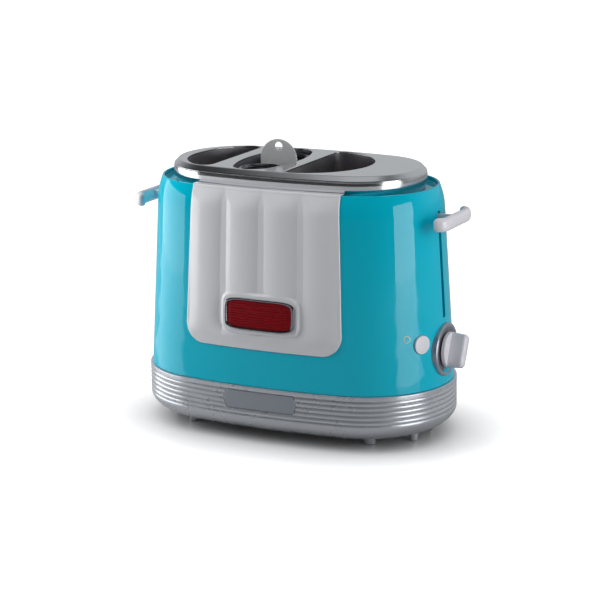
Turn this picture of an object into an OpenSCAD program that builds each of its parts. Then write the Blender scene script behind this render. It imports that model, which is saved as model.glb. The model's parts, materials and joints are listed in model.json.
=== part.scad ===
// Hot dog toaster with a lift carriage, a lift-out basket, a timer knob and a stop button.
// Millimetres. +Z up, origin on the floor under the middle of the base.
// +X points to the end with the knob, -Y to the front.

/* [Body] */
// Length of the base, end to end
base_length = 284; // [268:2:300]
// Depth of the base, front to rear
base_depth = 165; // [162:0.5:168]
// Height of the flat top over the floor
plate_height = 233.3; // [231.3:0.2:253.3]
// Height of the top edge of the base
base_height = 49.6; // [47:0.1:52]
// Height of the base floor over the table
floor_height = 6.5; // [5:0.5:7.5]
// How far the shell stands inside the base edge at its foot
shell_inset = 2.1; // [1.5:0.1:4]
// How far the shell leans in by its top
shell_taper = 9.7; // [8:0.1:10.5]
// Extra inward roll of the shell shoulder
shoulder_roll = 3.5; // [2.5:0.1:3.7]
// Height over which the shoulder rolls in
shoulder_height = 20; // [12:1:24]
// Wall of the body shell
shell_wall = 2.5; // [1.5:0.1:3]
// Wall of the base
base_wall = 2.8; // [2:0.1:3.5]

/* [Base ribs and feet] */
// Number of ribs round the base
rib_count = 5; // [3:1:5]
// Height of one rib
rib_pitch = 4.2; // [3.4:0.1:4.2]
// Depth of the grooves between ribs
rib_depth = 0.9; // [0.4:0.1:1.2]
// Height of the plain rim over the ribs
rim_height = 4.1; // [3:0.1:5]
// Distance from the centre to a foot along the length
foot_x = 85.5; // [80:0.5:87]
// Distance from the centre to a foot across the depth
foot_y = 42; // [34:0.5:43]
// Radius of a foot at its top
foot_top_r = 6; // [5.5:0.1:7]
// Radius of a foot at its bottom
foot_tip_r = 5.2; // [4.6:0.1:5.4]
// Radius of the rubber pad in a foot
pad_r = 3.6; // [2.5:0.1:3.9]
// Distance from the centre to a moulded peg along the length
peg_x = 116; // [112:0.5:117]
// Distance from the centre to a moulded peg across the depth
peg_y = 18; // [14:0.5:20]

/* [Front panel, badge and nameplate] */
// Width of the fluted panel near its foot
panel_width = 148.6; // [120:0.4:152]
// How much narrower the panel is at its top, on each side
panel_taper = 4.5; // [0:0.5:6]
// Height of the panel's lower edge over the floor
panel_bottom = 82; // [77:0.5:88]
// Radius of the panel's lower corners
panel_corner_r = 18; // [10:1:24]
// Number of flutes
flute_count = 4; // [3:1:6]
// Height of a flute over the shell
flute_height = 2.9; // [2:0.1:3.4]
// Thickness of the panel between the flutes
panel_skin = 0.9; // [0.6:0.1:1.4]
// Width of the badge
badge_width = 67; // [56:1:72]
// Height of the badge
badge_height = 27; // [22:0.5:28]
// Height of the badge's middle over the floor
badge_z = 113.3; // [111.7:0.2:116.5]
// Width of the badge's metal frame
badge_frame_w = 3; // [2:0.1:4]
// Number of ribs across the badge insert
badge_ribs = 10; // [6:1:12]
// Width of the nameplate
nameplate_width = 69; // [50:1:76]
// Height of the nameplate
nameplate_height = 16.4; // [12:0.2:17]

/* [Top plate and openings] */
// Inset of the flat top from the base edge
plate_inset = 25.6; // [25:0.1:26.4]
// Inset of the skirt's widest line from the base edge
skirt_inset = 20.8; // [20.6:0.1:21.4]
// How much shorter the top plate's outline is than the base's, at each end
plate_short = 5.25; // [4:0.25:6]
// Sheet thickness of the top plate
plate_sheet = 1; // [0.6:0.1:1.3]
// Width of the left bun opening
bun_left_width = 41; // [38:0.5:42]
// Length of the left bun opening, front to rear
bun_left_length = 102; // [90:1:104]
// Straight edge of the left bun opening
bun_left_x = -61; // [-62:0.2:-60]
// Width of the right bun opening
bun_right_width = 56; // [50:0.5:56.5]
// Length of the right bun opening, front to rear
bun_right_length = 108; // [94:1:109]
// Straight edge of the right bun opening
bun_right_x = 11; // [10:0.5:11.5]
// Corner radius of the bun openings
bun_corner_r = 9; // [6:0.5:11]
// Width of the oval opening
oval_width = 50; // [49:0.5:51]
// Length of the oval opening, front to rear
oval_length = 108; // [106:1:109]
// End radius of the oval opening
oval_end_r = 18; // [17:0.5:20]
// Middle of the oval opening
oval_x = -25; // [-25.5:0.1:-24.5]

/* [Hot dog basket] */
// Outer radius of a basket ring
ring_r = 19; // [18.5:0.1:19.2]
// Wall of a basket ring
ring_wall = 2; // [1:0.1:2.4]
// Distance from the middle of the basket to a ring's centre
ring_y = 27; // [26:0.2:28]
// Middle of the basket along the length
basket_x = -23.5; // [-24.5:0.1:-23.3]
// Height of the rings' top below the flat top
ring_drop = 3; // [1:0.1:6]
// Width of the lifting tab
tab_width = 35; // [30:0.5:35]
// Height of the lifting tab over the flat top
tab_rise = 17.5; // [14:0.5:24]
// Middle of the lifting tab along the length
tab_x = -19.5; // [-22:0.1:-19.3]
// Thickness of the lifting tab
tab_sheet = 1.4; // [1:0.1:2]
// Radius of the hole in the lifting tab
tab_hole_r = 3.75; // [3:0.05:4.2]
// Number of wires in a basket cage
cage_wires = 6; // [4:1:8]
// Radius of a basket wire
cage_wire_r = 1; // [0.8:0.1:1.1]
// Height of the basket's foot over the floor
basket_foot = 64.5; // [62.5:0.5:68.5]

/* [Carriage and levers] */
// Travel of the carriage
travel = 80; // [70:1:80]
// Height of the lever's middle over the floor, at rest
lever_z = 193; // [191.5:0.5:193.5]
// Thickness of a lever handle
lever_thick = 12; // [9:0.5:13]
// Thickness of the lever bar, seen from above
lever_bar = 7.4; // [6.4:0.1:8]
// Outer radius of the lever's corners
lever_corner_r = 11; // [8.5:0.5:11]
// Length of a lever handle, front to rear
lever_length = 59; // [44:1:60]
// How far a lever handle reaches past the base's end
lever_proud = 9; // [5.5:0.5:9]
// Width of the lever neck
neck_width = 4; // [3:0.1:4.4]
// Height of the lever neck
neck_height = 8; // [6:0.5:9]
// Width of the slot in the shell's ends
slot_width = 5; // [4.8:0.1:6]
// Height of the bun platforms over the floor, at rest
platform_z = 142.5; // [138.5:1:146.5]
// Thickness of the platform sheet
platform_sheet = 2; // [1.2:0.1:2.4]
// Radius of a guide rod
rod_r = 2.5; // [2:0.1:2.6]
// Outer radius of a carriage collar
collar_r = 4; // [3.8:0.1:4.2]

/* [Knob and button] */
// Height of the knob's middle over the floor
knob_z = 79; // [78.5:0.5:79.5]
// Radius of the knob bezel
bezel_r = 23.3; // [20:0.1:23.8]
// How far the bezel's face stands inside the base's end
bezel_back = 2.2; // [0.4:0.1:2.6]
// Radius of the knob's base
knob_r = 15.6; // [13:0.1:16.4]
// How far the knob's grip reaches past the bezel's face
grip_rise = 17.2; // [13:0.2:19]
// Thickness of the knob grip
grip_thick = 12; // [9:0.5:14]
// Turn of the knob at rest
knob_turn = -25; // [-60:1:60]
// Radius of the timer shaft
shaft_r = 3; // [2.5:0.05:3.2]
// Radius of the stop button
button_r = 8; // [7:0.05:8.5]
// Height of the stop button over the floor
button_z = 90.2; // [89.6:0.1:91.5]
// Angle of the stop button round the shell's end
button_angle = -26.6; // [-27:0.1:-26]
// Travel of the stop button
button_travel = 2; // [1:0.1:2.2]

/* [Crumb tray and cord gland] */
// Left side of the crumb tray
tray_left = -98; // [-99:0.5:-94]
// Right side of the crumb tray
tray_right = 70; // [66:0.5:71]
// Depth of the crumb tray
tray_depth = 9; // [7:0.5:11]
// Radius of the cord passage in the gland
cord_r = 3.6; // [3:0.1:4]

/* [Hidden] */
$fn = 72;

// Gaps
seat = 0.1;             // between pieces that are fixed together
slide = 0.3;            // between pieces that move past each other
shaft_play = 0.05;      // between a shaft or rod and its bore
step_in = 0.2;          // small step where a round end meets a bar

// Plan outline: two shallow arcs and two end arcs that meet where they are tangent.
// The joint runs along the long side of a 15:112:113 right triangle.
run = 15;
rise = 112;
slope = 113;
// A shorter outline, such as the top plate's, keeps the same depth.
half_l = base_length / 2;
half_d = base_depth / 2;
// Rounding to a thousandth keeps every centre and radius a short number, so that the arcs meet exactly.
function rounded(v) = round(1000 * v) / 1000;
function bow_of(short) = rounded((half_l - short - half_d) / (run + rise - slope));
function end_r_of(short) = half_d - bow_of(short) * (slope - rise);
function front_r_of(short) = end_r_of(short) + slope * bow_of(short);
end_r = end_r_of(0);
end_x = run * bow_of(0);
front_r = front_r_of(0);
front_y = rise * bow_of(0);
far = 2 * base_length;
tall = 2 * plate_height;
arc_fn = 360;

// Shell profile
shell_bottom = base_height + seat;
lip_z = plate_height - 14.8;
shoulder_z = lip_z - shoulder_height;
lip_inset = shell_inset + shell_taper + shoulder_roll;
lip_roll = 1.2;
function lean(z) = -shell_inset - shell_taper * (z - base_height) / (lip_z - base_height);
function roll(z) = z > shoulder_z ? shoulder_roll * pow((z - shoulder_z) / shoulder_height, 2) : 0;
function shell_off(z) = lean(z) - roll(z);
shell_steps = [shell_bottom, shoulder_z, for (k = [1:4]) shoulder_z + shoulder_height * k / 4];
taper_angle = atan(shell_taper / (lip_z - base_height));

// Steel chassis
deck_sheet = 1.2;
deck_z = base_height + seat;                    // underside of the chassis bottom
deck_top = deck_z + deck_sheet;
roof_z = plate_height - 21.8;                   // underside of the chassis top
roof_top = roof_z + deck_sheet;
roof_inset = 17.2;
liner_inset = 24.5;
liner_sheet = 0.8;
liner_end_x = bun_right_x + bun_right_width + 7;
skirt_foot = roof_top + seat;

// Carriage
frame_in = 20;
frame_out = 17.5;
frame_low = lever_z - neck_height / 2;
frame_high = lever_z + neck_height / 2;
rod_radius = end_r - 19.2;
rod_angle = 25;
collar_low = frame_low - 6;
collar_high = frame_high + 2;
leg_width = 6;
pad_reach = end_x + end_r - 16;                 // flat face on the frame where a lever sits
platform_left_x = bun_left_x - 19;
platform_right_x = bun_right_x + 26;

// Basket
ring_top = plate_height - ring_drop;
ring_height = 11.5;
ring_low = ring_top - ring_height;
cage_r = ring_r - ring_wall - cage_wire_r;
tab_top = plate_height + tab_rise;
tab_foot = ring_low + 4;
tab_hole_z = tab_top - 6.3;
tab_dome_r = tab_width / 2;

// Lever, knob and button
shell_x = end_x + end_r;
lever_reach = half_l + lever_proud;
bezel_reach = half_l - bezel_back;
knob_reach = bezel_reach + grip_rise;
knob_x0 = bezel_reach + slide;
knob_disc = 3.4;
timer_x0 = half_l - 32;
timer_x1 = half_l - 14;
bush_x1 = half_l - 7;
board_x = timer_x0 - seat - 1.6;
button_face = end_r + shell_off(button_z) + 1.9;
button_cap = 7;
button_flange = 1.75;
button_stem = 6.5;
switch_face = button_face - button_cap - button_flange - button_stem - button_travel - seat;

// Crumb tray
tray_z = floor_height + 20;
tray_lip = 13.4;
tray_front = -48;
gland_angle = 60;
gland_z = base_height - 14;

// ---- plan helpers ----
module end_wedge(short)
    translate([run * bow_of(short), 0, -1])
        linear_extrude(tall)
            polygon([[0, 0], [run, rise], [far, rise], [far, -rise], [run, -rise]]);

module front_wedge(short)
    translate([0, rise * bow_of(short), -1])
        linear_extrude(tall)
            polygon([[0, 0], [-run * 5, -rise * 5], [run * 5, -rise * 5]]);

// A profile of [offset from the base edge, height] swept round one end
module end_sweep(profile, short = 0)
    intersection() {
        translate([run * bow_of(short), 0, 0])
            rotate_extrude($fn = arc_fn / 2)
                polygon([for (p = profile) [end_r_of(short) + rounded(p[0]), p[1]]]);
        end_wedge(short);
    }

module front_sweep(profile, short = 0)
    intersection() {
        translate([0, rise * bow_of(short), 0])
            rotate_extrude($fn = arc_fn)
                polygon([for (p = profile) [front_r_of(short) + rounded(p[0]), p[1]]]);
        front_wedge(short);
    }

module plan_sweep(profile, short = 0) {
    end_sweep(profile, short);
    mirror([1, 0, 0]) end_sweep(profile, short);
    front_sweep(profile, short);
    mirror([0, 1, 0]) front_sweep(profile, short);
}

// A flat slab with the plan outline, inset from the base edge
module slab(inset, z0, h, short = 0) {
    x = run * bow_of(short);
    y = rise * bow_of(short);
    for (s = [0, 1])
        mirror([s, 0, 0]) intersection() {
            translate([x, 0, z0]) cylinder(r = end_r_of(short) - inset, h = h, $fn = arc_fn / 2);
            end_wedge(short);
        }
    intersection() {
        translate([0, y, z0]) cylinder(r = front_r_of(short) - inset, h = h, $fn = arc_fn);
        translate([0, -y, z0]) cylinder(r = front_r_of(short) - inset, h = h, $fn = arc_fn);
        translate([0, 0, z0 - 1])
            linear_extrude(h + 2)
                polygon([[x, 0], [x + run, rise], [-x - run, rise], [-x, 0], [-x - run, -rise],
                    [x + run, -rise]]);
    }
}

// Place something at an angle round one end; its own +X then points outward
module at_end(angle, radius, z)
    translate([end_x, 0, 0]) rotate([0, 0, angle]) translate([radius, 0, z]) children();

module at_left_end(angle, radius, z)
    mirror([1, 0, 0]) at_end(angle, radius, z) children();

module rod_x(r, x0, x1) translate([x0, 0, 0]) rotate([0, 90, 0]) cylinder(r = r, h = x1 - x0);

// ---- outlines ----
// A corner circle of radius rc at [cx, yc] and a side arc through [w, 0], tangent to each other
function side_r(w, cx, yc, rc) = (yc * yc + pow(w - cx, 2) - rc * rc) / (2 * (w - cx - rc));
function arc(cx, cy, r, a0, a1, n) =
    [for (k = [0:n]) let (a = a0 + (a1 - a0) * k / n) [cx + r * cos(a), cy + r * sin(a)]];

// D-shaped outline: straight edge at x = 0, bulge at x = w, grown by t
function d_outline(w, len, rc, t) =
    let (yc = len / 2 - rc, rs = side_r(w, rc, yc, rc), a = atan2(yc, rc - w + rs))
    concat(arc(w - rs, 0, rs + t, -a, a, 16), arc(rc, yc, rc + t, a, 180, 8),
        arc(rc, -yc, rc + t, 180, 360 - a, 8));

// Oval outline: two side arcs and two end arcs, grown by t
function oval_outline(w, len, re, t) =
    let (yc = len / 2 - re, rs = side_r(w / 2, 0, yc, re), a = atan2(yc, rs - w / 2))
    concat(arc(w / 2 - rs, 0, rs + t, -a, a, 10), arc(0, yc, re + t, a, 180 - a, 10),
        arc(rs - w / 2, 0, rs + t, 180 - a, 180 + a, 10), arc(0, -yc, re + t, 180 + a, 360 - a, 10));

// Rectangle with bowed sides and soft corners
bowed_power = 0.36;
function signed_pow(v, p) = sign(v) * pow(abs(v), p);
function bowed_outline(w, h) =
    [for (a = [0:6:354]) [w / 2 * signed_pow(cos(a), bowed_power), h / 2 * signed_pow(sin(a), bowed_power)]];

module left_bun(t) translate([bun_left_x, 0]) mirror([1, 0])
    polygon(d_outline(bun_left_width, bun_left_length, bun_corner_r, t));
module right_bun(t) translate([bun_right_x, 0])
    polygon(d_outline(bun_right_width, bun_right_length, bun_corner_r, t));
module oval(t) translate([oval_x, 0])
    polygon(oval_outline(oval_width, oval_length, oval_end_r, t));

module openings(t, z0, h) {
    translate([0, 0, z0]) linear_extrude(h) left_bun(t);
    translate([0, 0, z0]) linear_extrude(h) right_bun(t);
    translate([0, 0, z0]) linear_extrude(h) oval(t);
}

// A flat outline in X and Z, standing in front of the toaster
module front_cut(z) translate([0, 0, z]) rotate([90, 0, 0]) linear_extrude(base_depth) children();

// ---- base ----
ribs_top = base_height - rim_height;
ribs_low = ribs_top - rib_count * rib_pitch;
curl_in = 30;
curl_steps = 6;
curl_height = ribs_low - floor_height;
floor_top = floor_height + base_wall;
flange_inset = 16;
rib_steps = 4;
rim_edge = 0.4;         // how far the rim's lower edge stands over the first groove
function rib(i) = [for (k = [0:rib_steps])
    [rib_depth * (sin(180 * k / rib_steps) - 1), ribs_top - i * rib_pitch - k * rib_pitch / rib_steps]];
base_outer = concat([[-flange_inset, base_height], [0, base_height], [0, ribs_top + rim_edge]],
    [for (i = [0:rib_count - 1]) each rib(i)],
    [for (k = [0:curl_steps]) let (a = 90 * k / curl_steps)
        [-curl_in * (1 - cos(a)), ribs_low - curl_height * sin(a)]]);
base_inner = [for (k = [curl_steps:-1:0]) let (a = 90 * k / curl_steps)
    [-curl_in * (1 - cos(a)) - base_wall * cos(a), ribs_low - (curl_height - base_wall) * sin(a)]];
screw_radius = end_r - 12.5;
screw_angle = 45;
screw_r = 1.75;
boss_r = 4.5;

module four_ends(angle, radius, z)
    for (s = [-1, 1])
        mirror([s > 0 ? 1 : 0, 0, 0]) {
            at_end(angle, radius, z) children();
            at_end(-angle, radius, z) children();
        }

module plate_outline(grow) {
    h = nameplate_height / 2 + grow;
    w = nameplate_width / 2 + grow;
    end_bow = 3;
    r = (h * h + end_bow * end_bow) / (2 * end_bow);
    a = asin(h / r);
    polygon(concat(arc(w - r, 0, r, -a, a, 8), arc(r - w, 0, r, 180 - a, 180 + a, 8)));
}
nameplate_z = base_height - 3.6 - nameplate_height / 2;
nameplate_depth = 1.6;
pad_proud = 0.4;        // how far the rubber pads stand below the feet and the pegs

module base_shell() color("silver") difference() {
    union() {
        plan_sweep(concat(base_outer, base_inner,
            [[-base_wall, base_height - base_wall], [-flange_inset, base_height - base_wall]]));
        slab(curl_in - 1, floor_height, base_wall);
        four_ends(screw_angle, screw_radius, base_height - 16) cylinder(r = boss_r, h = 15);
        for (x = [-peg_x, peg_x])
            for (y = [-peg_y, peg_y])
                translate([x, y, pad_proud])
                    cylinder(r1 = 3.4, r2 = 4.4, h = floor_height + 2.4 - pad_proud);
        for (x = [tray_left + 8, tray_right - 8])
            translate([x - 1, tray_front + 2, floor_top - 1])
                cube([2, -2 * tray_front, tray_z - seat - floor_top + 1]);
    }
    four_ends(screw_angle, screw_radius, base_height - 14) cylinder(r = screw_r + shaft_play, h = 20);
    translate([tray_left - slide, half_d / 2, tray_z - slide])
        cube([tray_right - tray_left + 2 * slide, half_d, tray_lip + 2 * slide]);
    intersection() {
        front_cut(nameplate_z) plate_outline(seat);
        plan_sweep([[-nameplate_depth, floor_height], [3, floor_height], [3, base_height],
            [-nameplate_depth, base_height]]);
    }
    at_end(gland_angle, end_r, gland_z) rod_x(gland_r, -12, 8);
}

module nameplate() color("lightgray") intersection() {
    front_cut(nameplate_z) plate_outline(0);
    front_sweep([[seat - nameplate_depth, floor_height], [0, floor_height], [0, base_height],
        [seat - nameplate_depth, base_height]]);
}

module at_feet() for (x = [-foot_x, foot_x]) for (y = [-foot_y, foot_y]) translate([x, y, 0]) children();

pad_height = 2.4;
module feet() color("silver") at_feet() difference() {
    translate([0, 0, pad_proud]) cylinder(r1 = foot_tip_r, r2 = foot_top_r, h = floor_height - pad_proud);
    cylinder(r = pad_r + shaft_play, h = pad_height);
}

module foot_pads() color("dimgray") at_feet() cylinder(r = pad_r, h = pad_height);

// ---- body shell ----
ledge_in = skirt_inset + plate_short + 4;       // the ledge lies on the steel roof, from the lip to the skirt
shell_inner = [for (k = [len(shell_steps) - 2:-1:0]) let (z = shell_steps[k]) [shell_off(z) - shell_wall, z]];
shell_profile = concat([for (z = shell_steps) [shell_off(z), z]],
    [[-lip_inset - lip_roll, lip_z], [-lip_inset - 2.2, roof_top + 2.4], [-lip_inset - 3.9, roof_top + 1.4],
    [-ledge_in, roof_top + 1.4], [-ledge_in, roof_top + seat],
    [shell_off(roof_top) - shell_wall - 1, roof_top + seat]],
    shell_inner);
slot_low = lever_z - neck_height / 2 - travel - 2;
slot_high = lever_z + neck_height / 2 + 2;
bush_r = 4.5;

module end_slot() translate([shell_x - 30, -slot_width / 2, slot_low])
    cube([60, slot_width, slot_high - slot_low]);

module body_shell() color("darkcyan") difference() {
    plan_sweep(shell_profile);
    slab(skirt_inset + 1.9, roof_top - 1, 4, plate_short);
    end_slot();
    mirror([1, 0, 0]) end_slot();
    translate([0, 0, knob_z]) rod_x(bush_r + shaft_play, shell_x - 20, shell_x + 20);
    at_end(button_angle, 0, button_z) rod_x(button_r + slide, end_r - 20, end_r + 20);
}

// ---- fluted panels and badge ----
flute_pitch = panel_width / flute_count;
flute_r = (pow(flute_pitch / 2, 2) + pow(flute_height, 2)) / (2 * flute_height);
flute_step = 360 * flute_pitch / (2 * PI * (front_r - shell_inset));
fade_low = panel_bottom + 9;
fade_high = panel_bottom + 22;

// Profile points of the shell's outside, grown by t, between two heights
function shell_layer(t, z0, z1) =
    [[shell_off(z0) + t, z0], for (z = shell_steps) if (z > z0 && z < z1) [shell_off(z) + t, z],
    [shell_off(z1) + t, z1]];
function reversed(v) = [for (k = [len(v) - 1:-1:0]) v[k]];
function layer(t0, t1, z0, z1) = concat(shell_layer(t1, z0, z1), reversed(shell_layer(t0, z0, z1)));

flute_room = 0.4;       // keeps the fading surface clear of the flutes' crests
cap_in = skirt_inset - 0.4;                     // the panel rolls over the shell's lip as far as this
panel_back = concat([[-cap_in, lip_z + seat]], reversed(shell_layer(seat, panel_bottom, lip_z + seat)));
panel_front = concat(shell_layer(panel_skin, panel_bottom, lip_z - 0.5), [[-lip_inset, lip_z + panel_skin],
    [-cap_in, lip_z + panel_skin]], panel_back);
panel_envelope = concat(
    [[shell_off(panel_bottom) + panel_skin, panel_bottom], [shell_off(fade_low) + panel_skin, fade_low]],
    shell_layer(flute_height + flute_room, fade_high, lip_z - 3),
    [[shell_off(lip_z - 3) + 1.6, lip_z - 0.4], [-lip_inset + 0.1, lip_z + panel_skin + 0.2],
    [-cap_in, lip_z + panel_skin + 0.2]], panel_back);

// The panel's outline: round lower corners, sides that lean in
side_lean = atan(panel_taper / (lip_z - panel_bottom));
function panel_half(h) = let (x = panel_width / 2 - panel_corner_r, r = panel_corner_r)
    concat(arc(x, r, r, -90, side_lean, 10),
        [[x + r * cos(side_lean) - (h - r * (1 + sin(side_lean))) * tan(side_lean), h]]);
module panel_outline() {
    right = panel_half(lip_z - panel_bottom + 10);
    polygon(concat(right, [for (p = reversed(right)) [-p[0], p[1]]]));
}

module flutes()
    for (i = [0:flute_count - 1])
        translate([0, front_y, base_height])
            rotate([0, 0, (i - (flute_count - 1) / 2) * flute_step])
                translate([0, -(front_r - shell_inset + flute_height - flute_r), 0])
                    rotate([-taper_angle, 0, 0])
                        cylinder(r = flute_r, h = plate_height, $fn = arc_fn / 2);

module panel() intersection() {
    front_sweep(panel_envelope);
    union() {
        flutes();
        front_sweep(panel_front);
    }
    front_cut(panel_bottom) panel_outline();
}

badge_seat_w = 4.5;
module badge_area(grow) front_cut(badge_z)
    polygon(bowed_outline(badge_width + 2 * grow, badge_height + 2 * grow));
module badge_layer(t0, t1) front_sweep(layer(t0, t1, badge_z - badge_height, badge_z + badge_height));

module front_panel() color("whitesmoke") {
    panel();
    intersection() {
        badge_layer(seat, flute_height + 0.2);
        badge_area(badge_seat_w);
    }
}

module rear_panel() color("whitesmoke") mirror([0, 1, 0]) panel();

badge_low = flute_height + 0.2 + seat;
module badge_frame() color("dimgray") intersection() {
    badge_layer(badge_low, badge_low + 1.5);
    difference() {
        badge_area(0);
        badge_area(-badge_frame_w);
    }
}

badge_rib_pitch = (badge_height - 2 * badge_frame_w) / badge_ribs;
badge_rib_depth = 0.5;
badge_skin = 0.6;
badge_rib_points = [for (i = [0:2 * badge_ribs])
    let (z = badge_z + (i - badge_ribs) * badge_rib_pitch / 2)
        [shell_off(z) + badge_low + badge_skin + (i % 2) * badge_rib_depth, z]];
module badge_insert() color("firebrick") intersection() {
    front_sweep(concat(badge_rib_points,
        reversed(shell_layer(badge_low, badge_z - badge_height / 2, badge_z + badge_height / 2))));
    badge_area(-badge_frame_w - seat);
}

// ---- top plate ----
crease_z = plate_height - 5;
plate_low = plate_height - plate_sheet;
// The rim: a sloping band, a crease, and a skirt that tucks in towards its foot
plate_outer = [[-plate_inset, plate_height], [-plate_inset + 0.7, plate_height - 0.4],
    [-skirt_inset - 0.9, crease_z + 1.2], [-skirt_inset - 0.4, crease_z + 0.4],
    [-skirt_inset - 0.9, crease_z], [-skirt_inset - 0.3, crease_z - 0.5], [-skirt_inset, plate_height - 8],
    [-skirt_inset - 0.3, plate_height - 11.5], [-skirt_inset - 1.1, plate_height - 15],
    [-skirt_inset - 2.2, plate_height - 18.2], [-skirt_inset - 2.4, skirt_foot]];
plate_inner = [[-skirt_inset - 3.4, skirt_foot], [-skirt_inset - 3.2, plate_height - 18.1],
    [-skirt_inset - 2.1, plate_height - 14.8], [-skirt_inset - 1.3, plate_height - 11.3],
    [-skirt_inset - 1, plate_height - 8], [-skirt_inset - 2, crease_z - 0.2],
    [-plate_inset - 0.1, plate_low], [-plate_inset - 2, plate_low], [-plate_inset - 2, plate_height]];

module top_plate() color("gainsboro") difference() {
    union() {
        plan_sweep(concat(plate_outer, plate_inner), plate_short);
        slab(plate_inset + 1, plate_low, plate_sheet, plate_short);
        openings(plate_sheet, roof_top + seat, plate_height - roof_top - seat);
    }
    openings(0, roof_top - 1, plate_height);
}

// ---- chassis ----
rod_z0 = deck_top + seat;
rod_z1 = roof_z - seat;
window_left = bun_left_x - 37;
left_half = bun_left_length / 2 - 15;           // half-length of the left window and platform
right_half = bun_right_length / 2 - 14;         // half-length of the right platform
module chassis_bottom() color("darkgray") difference() {
    slab(6, deck_z, deck_sheet);
    translate([window_left, -left_half, deck_z - 1]) cube([bun_left_x - window_left, 2 * left_half, 4]);
    translate([oval_x - oval_width / 2, 7 - oval_length / 2, deck_z - 1])
        cube([oval_width, oval_length - 14, 4]);
    translate([bun_right_x, 9 - bun_right_length / 2, deck_z - 1])
        cube([bun_right_width, bun_right_length - 18, 4]);
    four_ends(screw_angle, screw_radius, deck_z - 1) cylinder(r = screw_r + shaft_play, h = 4);
}

module chassis_top() color("darkgray") difference() {
    slab(roof_inset, roof_z, deck_sheet);
    openings(0, roof_z - 1, 4);
}

arm_gap = 1;
module arm_slot(x)
    translate([x - leg_width / 2 - arm_gap, -base_depth / 2, platform_z - travel - platform_sheet - 3])
        cube([leg_width + 2 * arm_gap, base_depth, travel + platform_sheet + 6]);

module chamber_liner() color("silver") difference() {
    union() {
        intersection() {
            plan_sweep([[-liner_inset, rod_z0], [liner_sheet - liner_inset, rod_z0],
                [liner_sheet - liner_inset, rod_z1], [-liner_inset, rod_z1]]);
            translate([-far, -far, 0]) cube([far + liner_end_x, 2 * far, tall]);
        }
        intersection() {
            slab(liner_inset - liner_sheet / 2, rod_z0, rod_z1 - rod_z0);
            translate([liner_end_x - liner_sheet, -far, 0]) cube([liner_sheet, 2 * far, tall]);
        }
    }
    arm_slot(platform_left_x);
    arm_slot(platform_right_x);
}

// Element boards, from left to right: [x, half-width]
board_sheet = 1;
board_gap = 3;
board_half = bun_right_length / 2 - 5;
boards = [[bun_left_x - bun_left_width - board_gap - board_sheet, board_half - 22],
    [bun_left_x + board_gap, board_half], [bun_right_x - board_gap - 3.5 - board_sheet, board_half],
    [bun_right_x + bun_right_width + board_gap, board_half]];
wire_side = [1, -1, 1, -1];
board_low = deck_top + 22;

module mica_board(i) color("tan")
    translate([boards[i][0], -boards[i][1], board_low])
        cube([board_sheet, 2 * boards[i][1], rod_z1 - board_low]);

wire_rows = 9;
wire_height = 2;
wire_thick = 0.6;
// One ribbon that runs back and forth across the board
module heating_wire(i) color("gray") {
    w = boards[i][1] - 5;
    pitch = (rod_z1 - board_low - 16) / (wire_rows - 1);
    near = boards[i][0] - shaft_play - wire_thick;
    x = wire_side[i] > 0 ? boards[i][0] + board_sheet + shaft_play : near;
    for (k = [0:wire_rows - 1])
        translate([x, -w, board_low + 8 + k * pitch]) cube([wire_thick, 2 * w, wire_height]);
    for (k = [0:wire_rows - 2])
        translate([x, k % 2 == 0 ? w - wire_height : -w, board_low + 8 + k * pitch])
            cube([wire_thick, wire_height, pitch + wire_height]);
}

guide_r = 1;
function guide_row(x, half) = [for (k = [-3:2:3]) [x, half * k / 3]];
guide_rows = concat(guide_row(bun_left_x - bun_left_width + 2.2, left_half - 15),
    guide_row(bun_left_x - 1.5, left_half), guide_row(bun_right_x - 1.5, right_half - 4),
    guide_row(bun_right_x + bun_right_width - 0.2, right_half - 7));
module bun_guides() color("silver")
    for (g = guide_rows) translate([g[0], g[1], rod_z0]) cylinder(r = guide_r, h = rod_z1 - rod_z0);

module both_rods(z) {
    at_end(rod_angle, rod_radius, z) children();
    at_left_end(rod_angle, rod_radius, z) children();
}
module guide_rods() color("lightgray") both_rods(rod_z0) cylinder(r = rod_r, h = rod_z1 - rod_z0);

spring_wire = 1.1;
module return_springs() color("gray") both_rods(rod_z0) difference() {
    cylinder(r = rod_r + slide + spring_wire, h = collar_low - seat - rod_z0);
    translate([0, 0, -1]) cylinder(r = rod_r + slide, h = tall);
}

// ---- carriage ----
module frame_leg(x) intersection() {
    plan_sweep([[-frame_in, platform_z - platform_sheet], [-frame_out, platform_z - platform_sheet],
        [-frame_out, lever_z], [-frame_in, lever_z]]);
    translate([x - leg_width / 2, -far, 0]) cube([leg_width, 2 * far, tall]);
}

module carriage_frame() color("darkgray") difference() {
    union() {
        plan_sweep([[-frame_in, frame_low], [-frame_out, frame_low], [-frame_out, frame_high],
            [-frame_in, frame_high]]);
        frame_leg(platform_left_x);
        frame_leg(platform_right_x);
        both_rods(collar_low) cylinder(r = collar_r, h = collar_high - collar_low);
        for (s = [0, 1]) mirror([s, 0, 0])
            translate([pad_reach - 4, -5, frame_low]) cube([4, 10, neck_height]);
    }
    both_rods(collar_low - 1) cylinder(r = rod_r + shaft_play, h = tall);
}

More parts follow.
